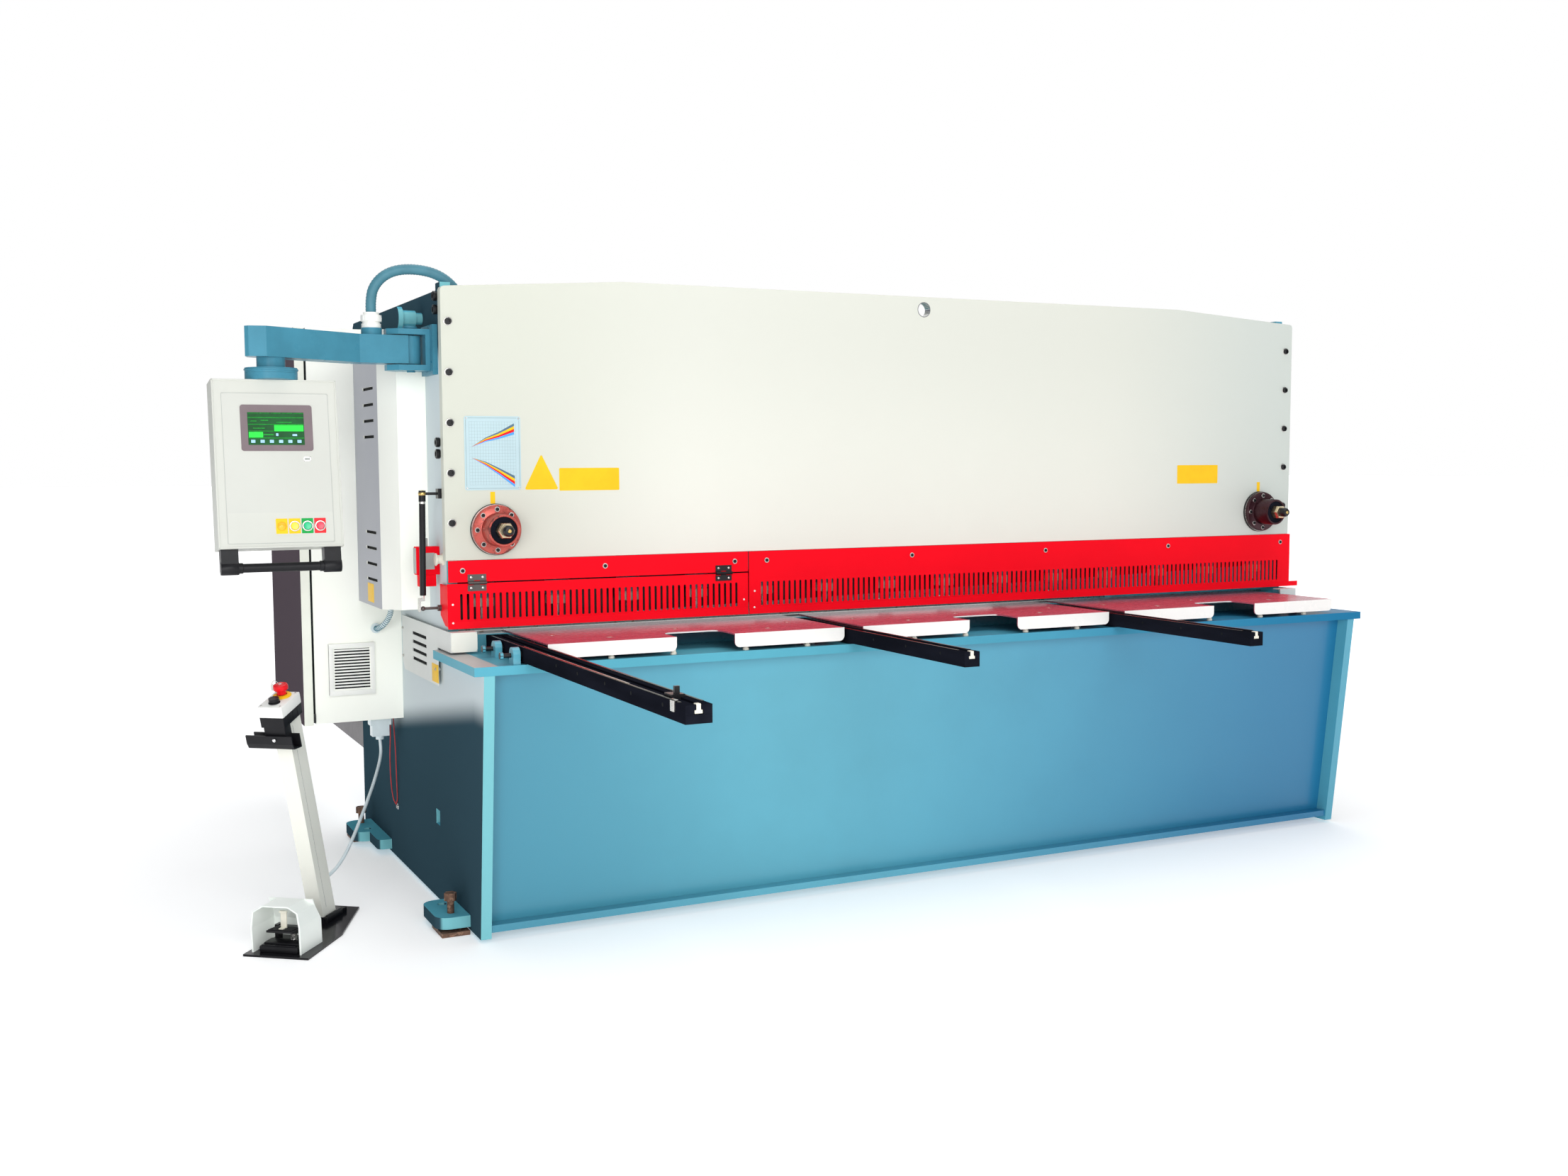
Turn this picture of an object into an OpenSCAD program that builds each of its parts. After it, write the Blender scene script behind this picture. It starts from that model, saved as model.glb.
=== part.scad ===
// Hydraulic guillotine shear with swinging control panel and foot pedal.
// X runs along the machine, Y from the operator to the back, Z up from the floor.

/* [Frame] */
// Width over the outer faces of the side plates
frame_w = 3160; // [2600:10:4000]
// Thickness of a side plate
plate_t = 30; // [20:1:45]
// Height of the side plates' top edge above the floor
plate_top = 1810; // [1760:5:1900]
// Gap under the side plates
ground_gap = 10; // [6:1:20]
// Distance from the table's front edge to the side plates' rear edge
frame_depth = 1630; // [1600:10:1900]
// How far the side plates' front edge leans back at the bottom
front_lean = 88; // [20:2:140]
// Distance from the table's front edge to the back of the front panel
throat_y = 375; // [340:5:420]
// Reach of a foot lug from the side plate
lug_reach = 93; // [85:1:160]
// Thickness of a foot lug
lug_t = 33; // [20:1:45]
// Radius of an anchor hole
anchor_r = 13; // [8:0.5:16]
// Distance from the table's front edge to the front anchor holes
anchor_front_y = 343; // [280:1:400]
// Distance from the front to the rear anchor holes
anchor_span = 1041; // [900:1:1200]

/* [Table] */
// Height of the table bed's top face
bed_z = 777; // [700:1:820]
// Thickness of the table bed
bed_t = 25; // [15:1:40]
// How far the bed reaches past each side plate
bed_over = 27; // [10:1:45]
// Height of the sheet plane above the bed
cover_rise = 51; // [40:1:60]
// Thickness of a table cover
cover_t = 4; // [3:0.5:6]
// Width of one table cover
cover_w = 915; // [700:5:925]
// Depth of the covers' folded front lip
lip_h = 40; // [20:1:44]
// Width of a hand cut-out at the front
notch_w = 180; // [120:5:240]
// Depth of a hand cut-out
notch_d = 120; // [80:5:180]
// Length of the squaring arm in front of the table
long_arm = 1112; // [700:5:1500]
// Length of a support arm in front of the table
short_arm = 630; // [400:5:900]
// Width of the squaring arm
long_arm_w = 61; // [50:1:80]
// Width of a support arm
short_arm_w = 46; // [36:1:60]
// Height of the arms
arm_h = 44; // [34:1:48]

/* [Front panel and guard] */
// Length of the front panel
panel_w = 3180; // [2600:10:4000]
// Thickness of the front panel
panel_t = 30; // [20:1:40]
// Height of the panel's lower edge
panel_z = 1042; // [1000:1:1080]
// Height of the panel at its ends
panel_end_top = 1815; // [1780:1:1880]
// Height of the panel in the middle
panel_mid_top = 1850; // [1820:1:1920]
// Distance of each slope's start from the middle
panel_kink = 1047; // [600:1:1200]
// Radius of the lifting hole
lift_r = 22; // [12:1:30]
// Thickness of the guard sheet
guard_t = 3; // [2:0.5:4]
// Height of the guard's lower edge
guard_z = 846; // [840:1:860]
// Height of the flap's hinge line
hinge_z = 977; // [965:1:985]
// Distance of the guard's split from the middle
guard_split = 642; // [400:1:900]
// Width of a viewing slot
slot_w = 7; // [5:0.5:10]
// Height of a viewing slot
slot_h = 75; // [40:1:85]
// Spacing of the viewing slots
slot_pitch = 19.2; // [17:0.1:30]

/* [Blades] */
// Height of a blade
blade_h = 80; // [60:1:90]
// Thickness of a blade
blade_t = 20; // [15:1:25]
// Distance from the table's front edge to the cutting plane
cut_y = 450; // [440:1:460]
// Rise of the upper blade from the left end to the right end
blade_rake = 70; // [20:1:72]
// Thickness of the blade beam
beam_t = 40; // [30:1:60]
// Number of hold-downs
hold_count = 14; // [8:1:16]
// Radius of a hold-down cylinder
hold_r = 28; // [20:1:30]

/* [Control panel] */
// Width of the control box
box_w = 320; // [260:5:400]
// Height of the control box
box_h = 449; // [360:1:520]
// Depth of the control box
box_d = 90; // [70:1:110]
// Backward tilt of the control box in degrees
box_tilt = 7.6; // [0:0.2:12]
// Side of the arm's square tube
tube = 80; // [60:1:90]
// Distance of the arm's top face below the side plates' top edge
arm_drop = 127; // [110:1:150]
// Length of the arm's part beside the bracket
arm_inner = 163; // [140:1:200]
// Length of the arm's outer part
arm_outer = 365; // [300:5:420]
// Angle of the arm's outer part in degrees
arm_angle = 31; // [10:1:40]

/* [Cabinet] */
// Width of the cabinet
cab_w = 275; // [220:5:340]
// Depth of the cabinet
cab_d = 580; // [480:5:640]
// Height of the cabinet
cab_h = 1237; // [1000:5:1260]
// Height of the cabinet's underside
cab_z = 500; // [460:5:540]
// Distance from the table's front edge to the cabinet
cab_y = 970; // [940:5:1020]
// Sheet thickness of the cabinet
cab_t = 3; // [2:0.5:4]

/* [Foot pedal] */
// Turn of the foot unit in degrees
foot_turn = -37.5; // [-60:0.5:0]
// Width of the foot unit's base plate
foot_w = 190; // [170:1:240]
// Height of the pedal's hood
hood_h = 135; // [110:1:160]
// Height of the column
column_h = 620; // [500:5:700]
// Forward lean of the column in degrees
column_lean = 16.2; // [8:0.1:22]

/* [Hidden] */

$fn = 48;
e = 0.01;
run = 0.05;
seat = 0.3;
clear = 5;

blue = [0.23, 0.50, 0.60];
navy = [0.07, 0.13, 0.18];
cream = [0.90, 0.91, 0.86];
red = [0.90, 0.07, 0.09];
steel = [0.60, 0.58, 0.56];
black = [0.05, 0.05, 0.06];

half_w = frame_w / 2;
inner = half_w - plate_t;
panel_half = panel_w / 2;
panel_y = throat_y - panel_t;
sheet_z = bed_z + cover_rise;
arm_top = plate_top - arm_drop;
lug_edge = half_w + lug_reach;
rear_guard_y = frame_depth + 620;

hub_x = -half_w - 60;
hub_y = throat_y + 125;
bend_x = hub_x - arm_inner;
boss_in = 77;
boss_x = bend_x - (arm_outer - boss_in) * cos(arm_angle);
boss_y = hub_y - (arm_outer - boss_in) * sin(arm_angle);
box_left = boss_x - box_w / 2;
shift_x = -(box_left + lug_edge) / 2;
shift_y = -(rear_guard_y - long_arm) / 2;

function lerp(a, b, t) = a + (b - a) * t;

module place() {
    translate([shift_x, shift_y, 0]) children();
}

module block(x0, x1, y0, y1, z0, z1) {
    translate([x0, y0, z0]) cube([x1 - x0, y1 - y0, z1 - z0]);
}

// A shape drawn as (Y, Z) points and given a thickness along X.
module yz_plate(x0, x1, points) {
    translate([x0, 0, 0]) rotate([90, 0, 90]) linear_extrude(x1 - x0) polygon(points);
}

// A shape drawn as (X, Z) points and given a thickness along Y.
module xz_plate(y0, y1, points) {
    translate([0, y1, 0]) rotate([90, 0, 0]) linear_extrude(y1 - y0) polygon(points);
}

module rod_x(x0, x1, y, z, r) {
    translate([x0, y, z]) rotate([0, 90, 0]) cylinder(h = x1 - x0, r = r);
}

module rod_y(x, y0, y1, z, r) {
    translate([x, y1, z]) rotate([90, 0, 0]) cylinder(h = y1 - y0, r = r);
}

module rod_z(x, y, z0, z1, r) {
    translate([x, y, z0]) cylinder(h = z1 - z0, r = r);
}

// Side plates

lug_z = 20;
lug_round = 40;
lug_margin = 50;
toe_reach = 46;
toe_len = 192;
jack_back = 99;
jack_r = 10;
hatch = 45;

module rounded_plate(x0, x1, y0, y1, z0, z1, r) {
    block(x0 + r, x1, y0, y1, z0, z1);
    block(x0, x1, y0 + r, y1 - r, z0, z1);
    for (y = [y0 + r, y1 - r]) rod_z(x0 + r, y, z0, z1, r);
}

// Foot lug on the left side, with its anchor hole and the jack bolt's hole.
module lug(anchor_y, jack_y) {
    near = min(anchor_y, jack_y) - lug_margin;
    far = max(anchor_y, jack_y) + lug_margin;
    difference() {
        rounded_plate(-lug_edge, -half_w + e, near, far, lug_z, lug_z + lug_t, lug_round);
        rod_z(-half_w - anchor_out, anchor_y, lug_z - 1, lug_z + lug_t + 1, anchor_r);
        rod_z(-half_w - anchor_out, jack_y, lug_z - 1, lug_z + lug_t + 1, jack_r + run);
    }
}

anchor_out = 43;
jack_front_y = anchor_front_y - jack_back;
anchor_rear_y = anchor_front_y + anchor_span;
jack_rear_y = anchor_rear_y + jack_back;

function side_outline() = [
    [front_lean, ground_gap],
    [4, bed_z - bed_t],
    [throat_y, bed_z - bed_t],
    [throat_y, plate_top],
    [frame_depth - 16, plate_top],
    [frame_depth, plate_top - 16],
    [frame_depth, ground_gap]];

module left_frame() {
    difference() {
        yz_plate(-half_w, -inner, side_outline());
        block(-half_w - 1, -inner + 1, 540 - hatch / 2, 540 + hatch / 2, 240, 240 + hatch);
    }
    lug(anchor_front_y, jack_front_y);
    lug(anchor_rear_y, jack_rear_y);
    rounded_plate(-half_w - toe_reach, -half_w + e, anchor_rear_y - toe_len, anchor_rear_y - 36,
        lug_z, lug_z + lug_t, toe_reach / 2);
}

spigot_y = throat_y + 235;
spigot_z = plate_top - 66;

module left_side_plate() {
    color(blue) place() {
        left_frame();
        rod_x(-half_w - 60, -half_w + e, spigot_y, spigot_z, 17);
        rod_x(-half_w - 62, -half_w - 20, spigot_y, spigot_z, 23);
        rod_x(-half_w - 74, -half_w - 60, spigot_y, spigot_z, 33);
        block(-half_w, -inner, throat_y + 12, throat_y + 62, plate_top - e, plate_top + 20);
        block(-inner - e, conduit_end[0] + 25, conduit_end[1] - 34, conduit_end[1] + 34,
            conduit_end[2] - 80, conduit_end[2]);
    }
}

module right_side_plate() {
    color(blue) place() {
        mirror([1, 0, 0]) left_frame();
        block(inner, half_w, throat_y + 12, throat_y + 62, plate_top - e, plate_top + 20);
    }
}

// Table

apron_back = 45;
apron_t = 15;
apron_lip = 20;

module front_apron() {
    low = ground_gap + 16;
    slope = (front_lean - 4) / (bed_z - bed_t - ground_gap);
    face = 4 + apron_back;
    drop = bed_z - bed_t - low;
    color(blue) place() {
        yz_plate(-inner, inner, [
            [face + slope * drop, low],
            [face, bed_z - bed_t],
            [face + apron_t, bed_z - bed_t],
            [face + apron_t + slope * drop, low]]);
        yz_plate(-inner, inner, [
            [face + slope * drop - apron_back + 4, low],
            [face + slope * drop - apron_back + 4, low + apron_lip],
            [face + slope * drop + 60, low + apron_lip],
            [face + slope * drop + 60, low]]);
    }
}

module table_bed() {
    color(blue) place() {
        block(-half_w - bed_over, half_w + bed_over, 0, throat_y, bed_z - bed_t, bed_z);
        for (s = [-1, 1]) {
            block(s < 0 ? -half_w - bed_over : half_w, s < 0 ? -half_w : half_w + bed_over,
                throat_y - e, throat_y + 73, bed_z - bed_t, bed_z);
        }
    }
}

holder_deep = 180;
cover_z = sheet_z - cover_t;

module blade_holder() {
    color(blue) place() {
        block(-inner, inner, throat_y, cut_y - blade_t, bed_z - holder_deep, cover_z);
    }
}

module lower_blade() {
    color(steel) place() {
        block(-inner + clear, inner - clear, cut_y - blade_t, cut_y,
            sheet_z - blade_h, sheet_z);
    }
}

// Table covers: a sheet with a folded lip and a hand cut-out in the middle.
arm_gap = 6;
left_arm_x = -half_w + 111;
cover_x0 = left_arm_x + long_arm_w + arm_gap;
cover_pitch = cover_w + short_arm_w + 2 * arm_gap + 6;
cover_y0 = 4;
cover_corner = 16;

function cover_left(i) = cover_x0 + i * cover_pitch;

// Front lip of a cover from a to b, rounded at its lower corners.
module cover_lip(a, b) {
    low = sheet_z - lip_h;
    block(a, b, cover_y0, cover_y0 + cover_t, low + cover_corner, sheet_z);
    block(a + cover_corner, b - cover_corner, cover_y0, cover_y0 + cover_t, low, sheet_z);
    for (x = [a + cover_corner, b - cover_corner]) {
        rod_y(x, cover_y0, cover_y0 + cover_t, low + cover_corner, cover_corner);
    }
}

module table_cover(x0) {
    mid = x0 + cover_w / 2 + 10;
    side = notch_w / 2;
    round_r = 30;
    difference() {
        union() {
            block(x0, x0 + cover_w, cover_y0, cut_y - blade_t, cover_z, sheet_z);
            cover_lip(x0, mid - side);
            cover_lip(mid + side, x0 + cover_w);
            for (x = [x0 + 70, x0 + cover_w - 110]) {
                block(x, x + 40, 60, 100, bed_z, cover_z + e);
            }
            block(x0 + 40, x0 + cover_w - 40, 250, 290, bed_z, cover_z + e);
        }
        block(mid - side, mid + side, -1, notch_d - round_r, bed_z - 1, sheet_z + 1);
        block(mid - side + round_r, mid + side - round_r, -1, notch_d, bed_z - 1, sheet_z + 1);
        for (s = [-1, 1]) {
            rod_z(mid + s * (side - round_r), notch_d - round_r, bed_z - 1, sheet_z + 1, round_r);
        }
    }
}

module table_covers() {
    color(cream) place() {
        for (i = [0:2]) table_cover(cover_left(i));
    }
}

// Arms

groove_w = 22;
lip_w = 12;
groove_d = 20;

// A support arm of the given width from the blade holder to its front end.
module arm(x0, w, reach) {
    z0 = bed_z;
    z1 = bed_z + arm_h;
    mid = x0 + w / 2;
    difference() {
        block(x0, x0 + w, -reach, throat_y, z0 + 4, z1);
        block(mid - lip_w / 2, mid + lip_w / 2, -reach - 1, throat_y - 40, z1 - groove_d, z1 + 1);
        block(mid - groove_w / 2, mid + groove_w / 2, -reach - 1, throat_y - 40,
            z1 - groove_d, z1 - groove_d + 9);
    }
    block(x0 + 4, x0 + w - 4, 120, 220, z0, z0 + 4 + e);
}

module squaring_arm() {
    color(black) place() {
        arm(left_arm_x, long_arm_w, long_arm);
    }
}

support_x = [cover_left(1) - arm_gap - short_arm_w, cover_left(2) - arm_gap - short_arm_w];

module support_arms() {
    color(black) place() {
        for (x = support_x) arm(x, short_arm_w, short_arm);
    }
}

adjuster_y = [30, 204];
adjuster_z = bed_z + 24;

module arm_adjusters() {
    color(blue) place() {
        for (y = adjuster_y) {
            x = left_arm_x - 28;
            block(x, x + 20, y - 20, y + 20, bed_z, adjuster_z + 2);
            rod_x(x, x + 20, y, adjuster_z + 2, 20);
            rod_x(x - 24, left_arm_x, y, adjuster_z, 6);
            rod_x(x - 32, x - 24 + e, y, adjuster_z, 10);
        }
    }
}

stop_travel = 500;
stop_y = -long_arm + 110;

module arm_stop() {
    mid = left_arm_x + long_arm_w / 2;
    z1 = bed_z + arm_h;
    color(steel) place() {
        block(mid - lip_w / 2 + seat, mid + lip_w / 2 - seat, stop_y, stop_y + 40,
            z1 - groove_d + seat, z1 + seat + e);
        block(mid - groove_w / 2 + 1, mid + groove_w / 2 - 1, stop_y, stop_y + 40,
            z1 - groove_d + seat, z1 - groove_d + 9 - 1);
        block(mid - 16, mid + 16, stop_y, stop_y + 40, z1 + seat, z1 + 7);
        block(mid - 6, mid + 6, stop_y + 6, stop_y + 14, z1 + 6, z1 + 24);
    }
}

// Front panel

lift_z = panel_mid_top - 41;
lift_x = -5;

module front_panel() {
    c = 10;
    color(cream) place() {
        difference() {
            xz_plate(panel_y, throat_y, [
                [-panel_half, panel_z],
                [-panel_half, panel_end_top - c],
                [-panel_half + 3, panel_end_top - 3],
                [-panel_half + c, panel_end_top],
                [-panel_kink, panel_mid_top],
                [panel_kink, panel_mid_top],
                [panel_half - c, panel_end_top],
                [panel_half - 3, panel_end_top - 3],
                [panel_half, panel_end_top - c],
                [panel_half, panel_z]]);
            rod_y(lift_x, panel_y - 1, throat_y + 1, lift_z, lift_r);
        }
    }
}

shaft_z = panel_z + 86;
shaft_in = 146;

// Adjusting shaft on the panel: flange, stepped neck, hex nut and pin.
module shaft_flange(x) {
    rod_y(x, panel_y - 8, panel_y, shaft_z, 74);
    rod_y(x, panel_y - 22, panel_y - 8 + e, shaft_z, 71);
    rod_y(x, panel_y - 90, panel_y - 22 + e, shaft_z, 46);
    translate([x, panel_y - 90 + e, shaft_z]) rotate([90, 0, 0]) cylinder(h = 30, r = 22, $fn = 6);
    rod_y(x, panel_y - 146, panel_y - 120 + e, shaft_z, 16);
}

module shaft_flanges() {
    color([0.55, 0.20, 0.16]) place() {
        for (s = [-1, 1]) shaft_flange(s * (panel_half - shaft_in));
    }
}

// Blade drive

drive_x = inner - 150;
drive_y = throat_y + 135;
drive_r = 65;
rod_r = 30;
drive_z0 = plate_top - 300;
drive_z1 = plate_top - 20;
beam_top = plate_top - 380;
beam_y = cut_y + 0.5 + blade_t;
blade_low = sheet_z + 22;
blade_half = inner - 10;
blade_stroke = 100;

module drive_cylinders() {
    color(navy) place() {
        for (s = [-1, 1]) {
            difference() {
                union() {
                    rod_z(s * drive_x, drive_y, drive_z0, drive_z1, drive_r);
                    block(s * drive_x - 70, s * drive_x + 70, throat_y, drive_y, drive_z0 + 20,
                        drive_z1 - 60);
                }
                rod_z(s * drive_x, drive_y, drive_z0 - 1, drive_z1 - 20, rod_r + run);
            }
        }
    }
}

module blade_beam() {
    color(blue) place() {
        xz_plate(beam_y, beam_y + beam_t, [
            [-blade_half, blade_low + 15],
            [-blade_half, beam_top],
            [blade_half, beam_top],
            [blade_half, blade_low + 15 + blade_rake]]);
        for (s = [-1, 1]) {
            rod_z(s * drive_x, drive_y, beam_top - 60, drive_z1 - 40, rod_r);
            block(s * drive_x - 50, s * drive_x + 50, beam_y + beam_t - e, drive_y + 40,
                beam_top - 60, beam_top);
        }
        for (i = [-2:2]) {
            block(i * 560 - 8, i * 560 + 8, beam_y + beam_t - e, beam_y + beam_t + 70,
                blade_low + 160, beam_top - 30);
        }
    }
}

module upper_blade() {
    color(steel) place() {
        xz_plate(cut_y + 0.5, beam_y, [
            [-blade_half, blade_low],
            [-blade_half, blade_low + blade_h],
            [blade_half, blade_low + blade_h + blade_rake],
            [blade_half, blade_low + blade_rake]]);
    }
}

// Hold-downs behind the guard

rail_z0 = hinge_z + 8;
rail_z1 = panel_z + 60;
hold_y = throat_y + 30;
hold_pitch = (2 * inner - 160) / (hold_count - 1);
hold_bore_r = 12;
foot_r = 25;
foot_z = sheet_z + 24;
hold_travel = 18;

function hold_x(i) = -inner + 80 + i * hold_pitch;

module hold_down_rail() {
    color(blue) place() {
        difference() {
            union() {
                block(-inner, inner, panel_y, throat_y + 65, rail_z0, panel_z);
                block(-inner, inner, throat_y, throat_y + 65, panel_z - e, rail_z1);
                for (i = [0:hold_count - 1]) {
                    rod_z(hold_x(i), hold_y, foot_z + 50, rail_z0 + e, hold_r);
                }
            }
            for (i = [0:hold_count - 1]) {
                rod_z(hold_x(i), hold_y, foot_z + 49, rail_z1 - 30, hold_bore_r + run);
            }
        }
    }
}

module hold_down_feet() {
    color(steel) place() {
        for (i = [0:hold_count - 1]) {
            rod_z(hold_x(i), hold_y, foot_z + 10, rail_z1 - 60, hold_bore_r);
            rod_z(hold_x(i), hold_y, foot_z, foot_z + 14, foot_r);
        }
    }
}

// Guard

guard_y = panel_y - guard_t;
guard_top = panel_z - 1;
guard_gap = 1.5;
slot_z0 = guard_z + 25;
flap_x0 = -panel_half + 2;
flap_x1 = -guard_split - guard_gap;
guard_x0 = -guard_split + guard_gap;
guard_x1 = panel_half + 8;
first_slot_x = flap_x0 + 40;
flap_slots = floor((flap_x1 - 32 - first_slot_x) / slot_pitch) + 1;
right_slots = floor((guard_x1 - 60 - (guard_x0 + 45)) / slot_pitch) + 1;

module slot(x) {
    r = slot_w / 2;
    block(x - r, x + r, guard_y - 1, guard_y + guard_t + 1, slot_z0 + r, slot_z0 + slot_h - r);
    for (z = [slot_z0 + r, slot_z0 + slot_h - r]) {
        rod_y(x, guard_y - 1, guard_y + guard_t + 1, z, r);
    }
}

// The guard sheet's lower strip leans towards the operator.
module guard_sheet(x0, x1, z1) {
    yz_plate(x0, x1, [
        [guard_y - 4, guard_z],
        [guard_y, guard_z + 20],
        [guard_y, z1],
        [guard_y + guard_t, z1],
        [guard_y + guard_t, guard_z + 20],
        [guard_y + guard_t - 4, guard_z]]);
}

module fixed_guard() {
    color(red) place() {
        block(flap_x0 + 4, flap_x1, guard_y, guard_y + guard_t, hinge_z + 2, guard_top);
        difference() {
            guard_sheet(guard_x0, guard_x1, guard_top);
            for (i = [0:right_slots - 1]) slot(guard_x0 + 45 + i * slot_pitch);
        }
        yz_plate(guard_x1 - guard_t, guard_x1, [
            [guard_y + guard_t - e, guard_z + 10],
            [guard_y + guard_t - e, guard_top],
            [throat_y + 50, guard_top],
            [throat_y + 50, guard_z + 40],
            [throat_y, guard_z + 10]]);
        block(guard_x1 - e, guard_x1 + 40, guard_y - 2, guard_y + 1, guard_z, guard_z + 18);
    }
}

flange_y = throat_y + 50;

module guard_flap() {
    color(red) place() {
        difference() {
            guard_sheet(flap_x0, flap_x1, hinge_z - 2);
            for (i = [0:flap_slots - 1]) slot(first_slot_x + i * slot_pitch);
        }
        yz_plate(flap_x0, flap_x0 + guard_t, [
            [guard_y + guard_t - e, guard_z + 6],
            [guard_y + guard_t - e, hinge_z - 6],
            [flange_y, hinge_z - 6],
            [flange_y, hinge_z - 96],
            [throat_y, guard_z + 8]]);
    }
}

// Two hinges: the fixed leaf carries the pin and the outer knuckles.
hinge_x = [flap_x0 + 86, flap_x1 - 84];
hinge_w = 54;
leaf_h = 24;
leaf_t = 2;
pin_r = 3;
knuckle_r = 5;
pin_y = guard_y - knuckle_r - 0.5;
third = hinge_w / 3;

module leaf(x, z0, z1) {
    block(x - hinge_w / 2, x + hinge_w / 2, guard_y - leaf_t, guard_y, z0, z1);
}

module knuckle(x0, x1, up) {
    difference() {
        union() {
            rod_x(x0, x1, pin_y, hinge_z, knuckle_r);
            block(x0, x1, guard_y - leaf_t, guard_y, up ? hinge_z + 1 : hinge_z - 8,
                up ? hinge_z + 8 : hinge_z - 1);
        }
        rod_x(x0 - 1, x1 + 1, pin_y, hinge_z, pin_r + run);
    }
}

module flap_hinges() {
    color(steel) place() {
        for (x = hinge_x) {
            leaf(x, hinge_z + 7, hinge_z + leaf_h);
            for (s = [-1, 1]) {
                rod_x(x + s * third - third / 2, x + s * third + third / 2, pin_y, hinge_z, knuckle_r);
                block(x + s * third - third / 2, x + s * third + third / 2, guard_y - leaf_t, guard_y,
                    hinge_z + 1, hinge_z + 8);
            }
            rod_x(x - hinge_w / 2, x + hinge_w / 2, pin_y, hinge_z, pin_r);
        }
    }
}

module flap_fittings() {
    color(steel) place() {
        for (x = hinge_x) {
            leaf(x, hinge_z - leaf_h, hinge_z - 7);
            knuckle(x - third / 2 + seat, x + third / 2 - seat, false);
        }
        rod_x(strut_x, flap_x0, low_y, low_z, stud_r);
        rod_x(flap_x0 - 10, flap_x0, low_y, low_z, 9);
        translate([strut_x, low_y, low_z]) sphere(r = ball_r);
    }
}

// Gas strut between the left side plate and the flap

strut_x = -half_w - 60;
strut_y = throat_y + 25;
strut_z = panel_z + 190;
ball_r = 7;
stud_r = 4;
low_y = throat_y + 43;
low_z = hinge_z - 75;
strut_dy = low_y - strut_y;
eye_in = ball_r + 1;
eye_t = 5;
eye_top = 26;
strut_len = sqrt(strut_dy * strut_dy + (strut_z - low_z) * (strut_z - low_z));
strut_tilt = atan2(strut_dy, strut_z - low_z);

module strut_frame() {
    translate([strut_x, strut_y, strut_z]) rotate([strut_tilt, 0, 0]) children();
}

module strut_stud() {
    color(black) place() {
        rod_x(strut_x, -half_w, strut_y, strut_z, stud_r);
        translate([strut_x, strut_y, strut_z]) sphere(r = ball_r);
        block(-half_w - 18, -half_w, strut_y - 16, strut_y + 12, strut_z - 14, strut_z + 14);
    }
}

module strut_cylinder() {
    color(black) place() {
        strut_frame() {
            difference() {
                union() {
                    rod_z(0, 0, -22, 9, 10);
                    rod_z(0, 0, -292, -18, 9);
                }
                sphere(r = ball_r + seat);
                rod_x(0, 20, 0, 0, stud_r + 1.5);
                rod_z(0, 0, -293, -120, 4 + run);
            }
        }
    }
}

module strut_rod() {
    color(steel) place() {
        strut_frame() {
            rod_z(0, 0, -strut_len + eye_top, -150, 4);
            block(-eye_in - eye_t, 4, -6, 6, -strut_len + eye_top - 4, -strut_len + eye_top + 4);
            block(-eye_in - eye_t, -eye_in, -8, 8, -strut_len - 8, -strut_len + eye_top + 4);
        }
    }
}

// Side cover in front of the cabinet

side_cover_y = throat_y + 205;
side_cover_z0 = panel_z - 157;
side_cover_z1 = plate_top - 100;
side_cover_out = 132;
side_cover_cut = 47;

module side_cover() {
    x0 = -half_w - side_cover_out;
    louvre_y = side_cover_y + 105;
    color(cream) place() {
        difference() {
            translate([0, 0, side_cover_z0]) linear_extrude(side_cover_z1 - side_cover_z0)
                polygon([
                    [-half_w, side_cover_y],
                    [x0 + side_cover_cut, side_cover_y],
                    [x0, side_cover_y + side_cover_cut],
                    [x0, cab_y],
                    [-half_w, cab_y]]);
            translate([0, 0, side_cover_z0 - 1])
                linear_extrude(side_cover_z1 - side_cover_z0 - 2)
                polygon([
                    [-half_w + 1, side_cover_y + 3],
                    [x0 + side_cover_cut + 1.2, side_cover_y + 3],
                    [x0 + 3, side_cover_y + side_cover_cut + 1.2],
                    [x0 + 3, cab_y - 3],
                    [-half_w + 1, cab_y - 3]]);
            for (i = [0:3]) {
                for (z = [side_cover_z0 + 77 + i * 48, side_cover_z1 - 316 + i * 48]) {
                    block(x0 - 1, x0 + 4, louvre_y, louvre_y + 150, z, z + 9);
                }
            }
        }
    }
}

// End covers around the blade ends

end_y = panel_y - 45;
end_top = guard_z - 6;
end_low = bed_z - 107;
end_t = 3;
end_back = 905;

module end_sheet() {
    difference() {
        yz_plate(-half_w - 12, -half_w - 12 + end_t, [
            [end_y, bed_z + 6],
            [end_y, end_top],
            [end_back, end_top],
            [end_back, end_low + 25],
            [end_back - 25, end_low],
            [throat_y + 80, end_low],
            [throat_y + 80, bed_z + 6]]);
        for (i = [0:3]) {
            z = end_top - 48 - i * 26;
            block(-half_w - 13, -half_w - 8, 590, 770, z, z + 10);
        }
    }
    block(-half_w - 12, -half_w + 64, end_y, end_y + end_t, bed_z + 6, end_top);
    block(-half_w - 12, -half_w + 64, end_y, guard_y - clear, end_top - end_t, end_top);
    for (z = [end_top - 40, end_low + 40]) {
        rod_x(-half_w - 10, -half_w, end_back - 12, z, 5);
    }
    rod_x(-half_w - 10, -half_w, throat_y + 100, bed_z - 60, 5);
}

module end_covers() {
    color(cream) place() {
        end_sheet();
        mirror([1, 0, 0]) end_sheet();
    }
}

// Cabinet

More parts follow.
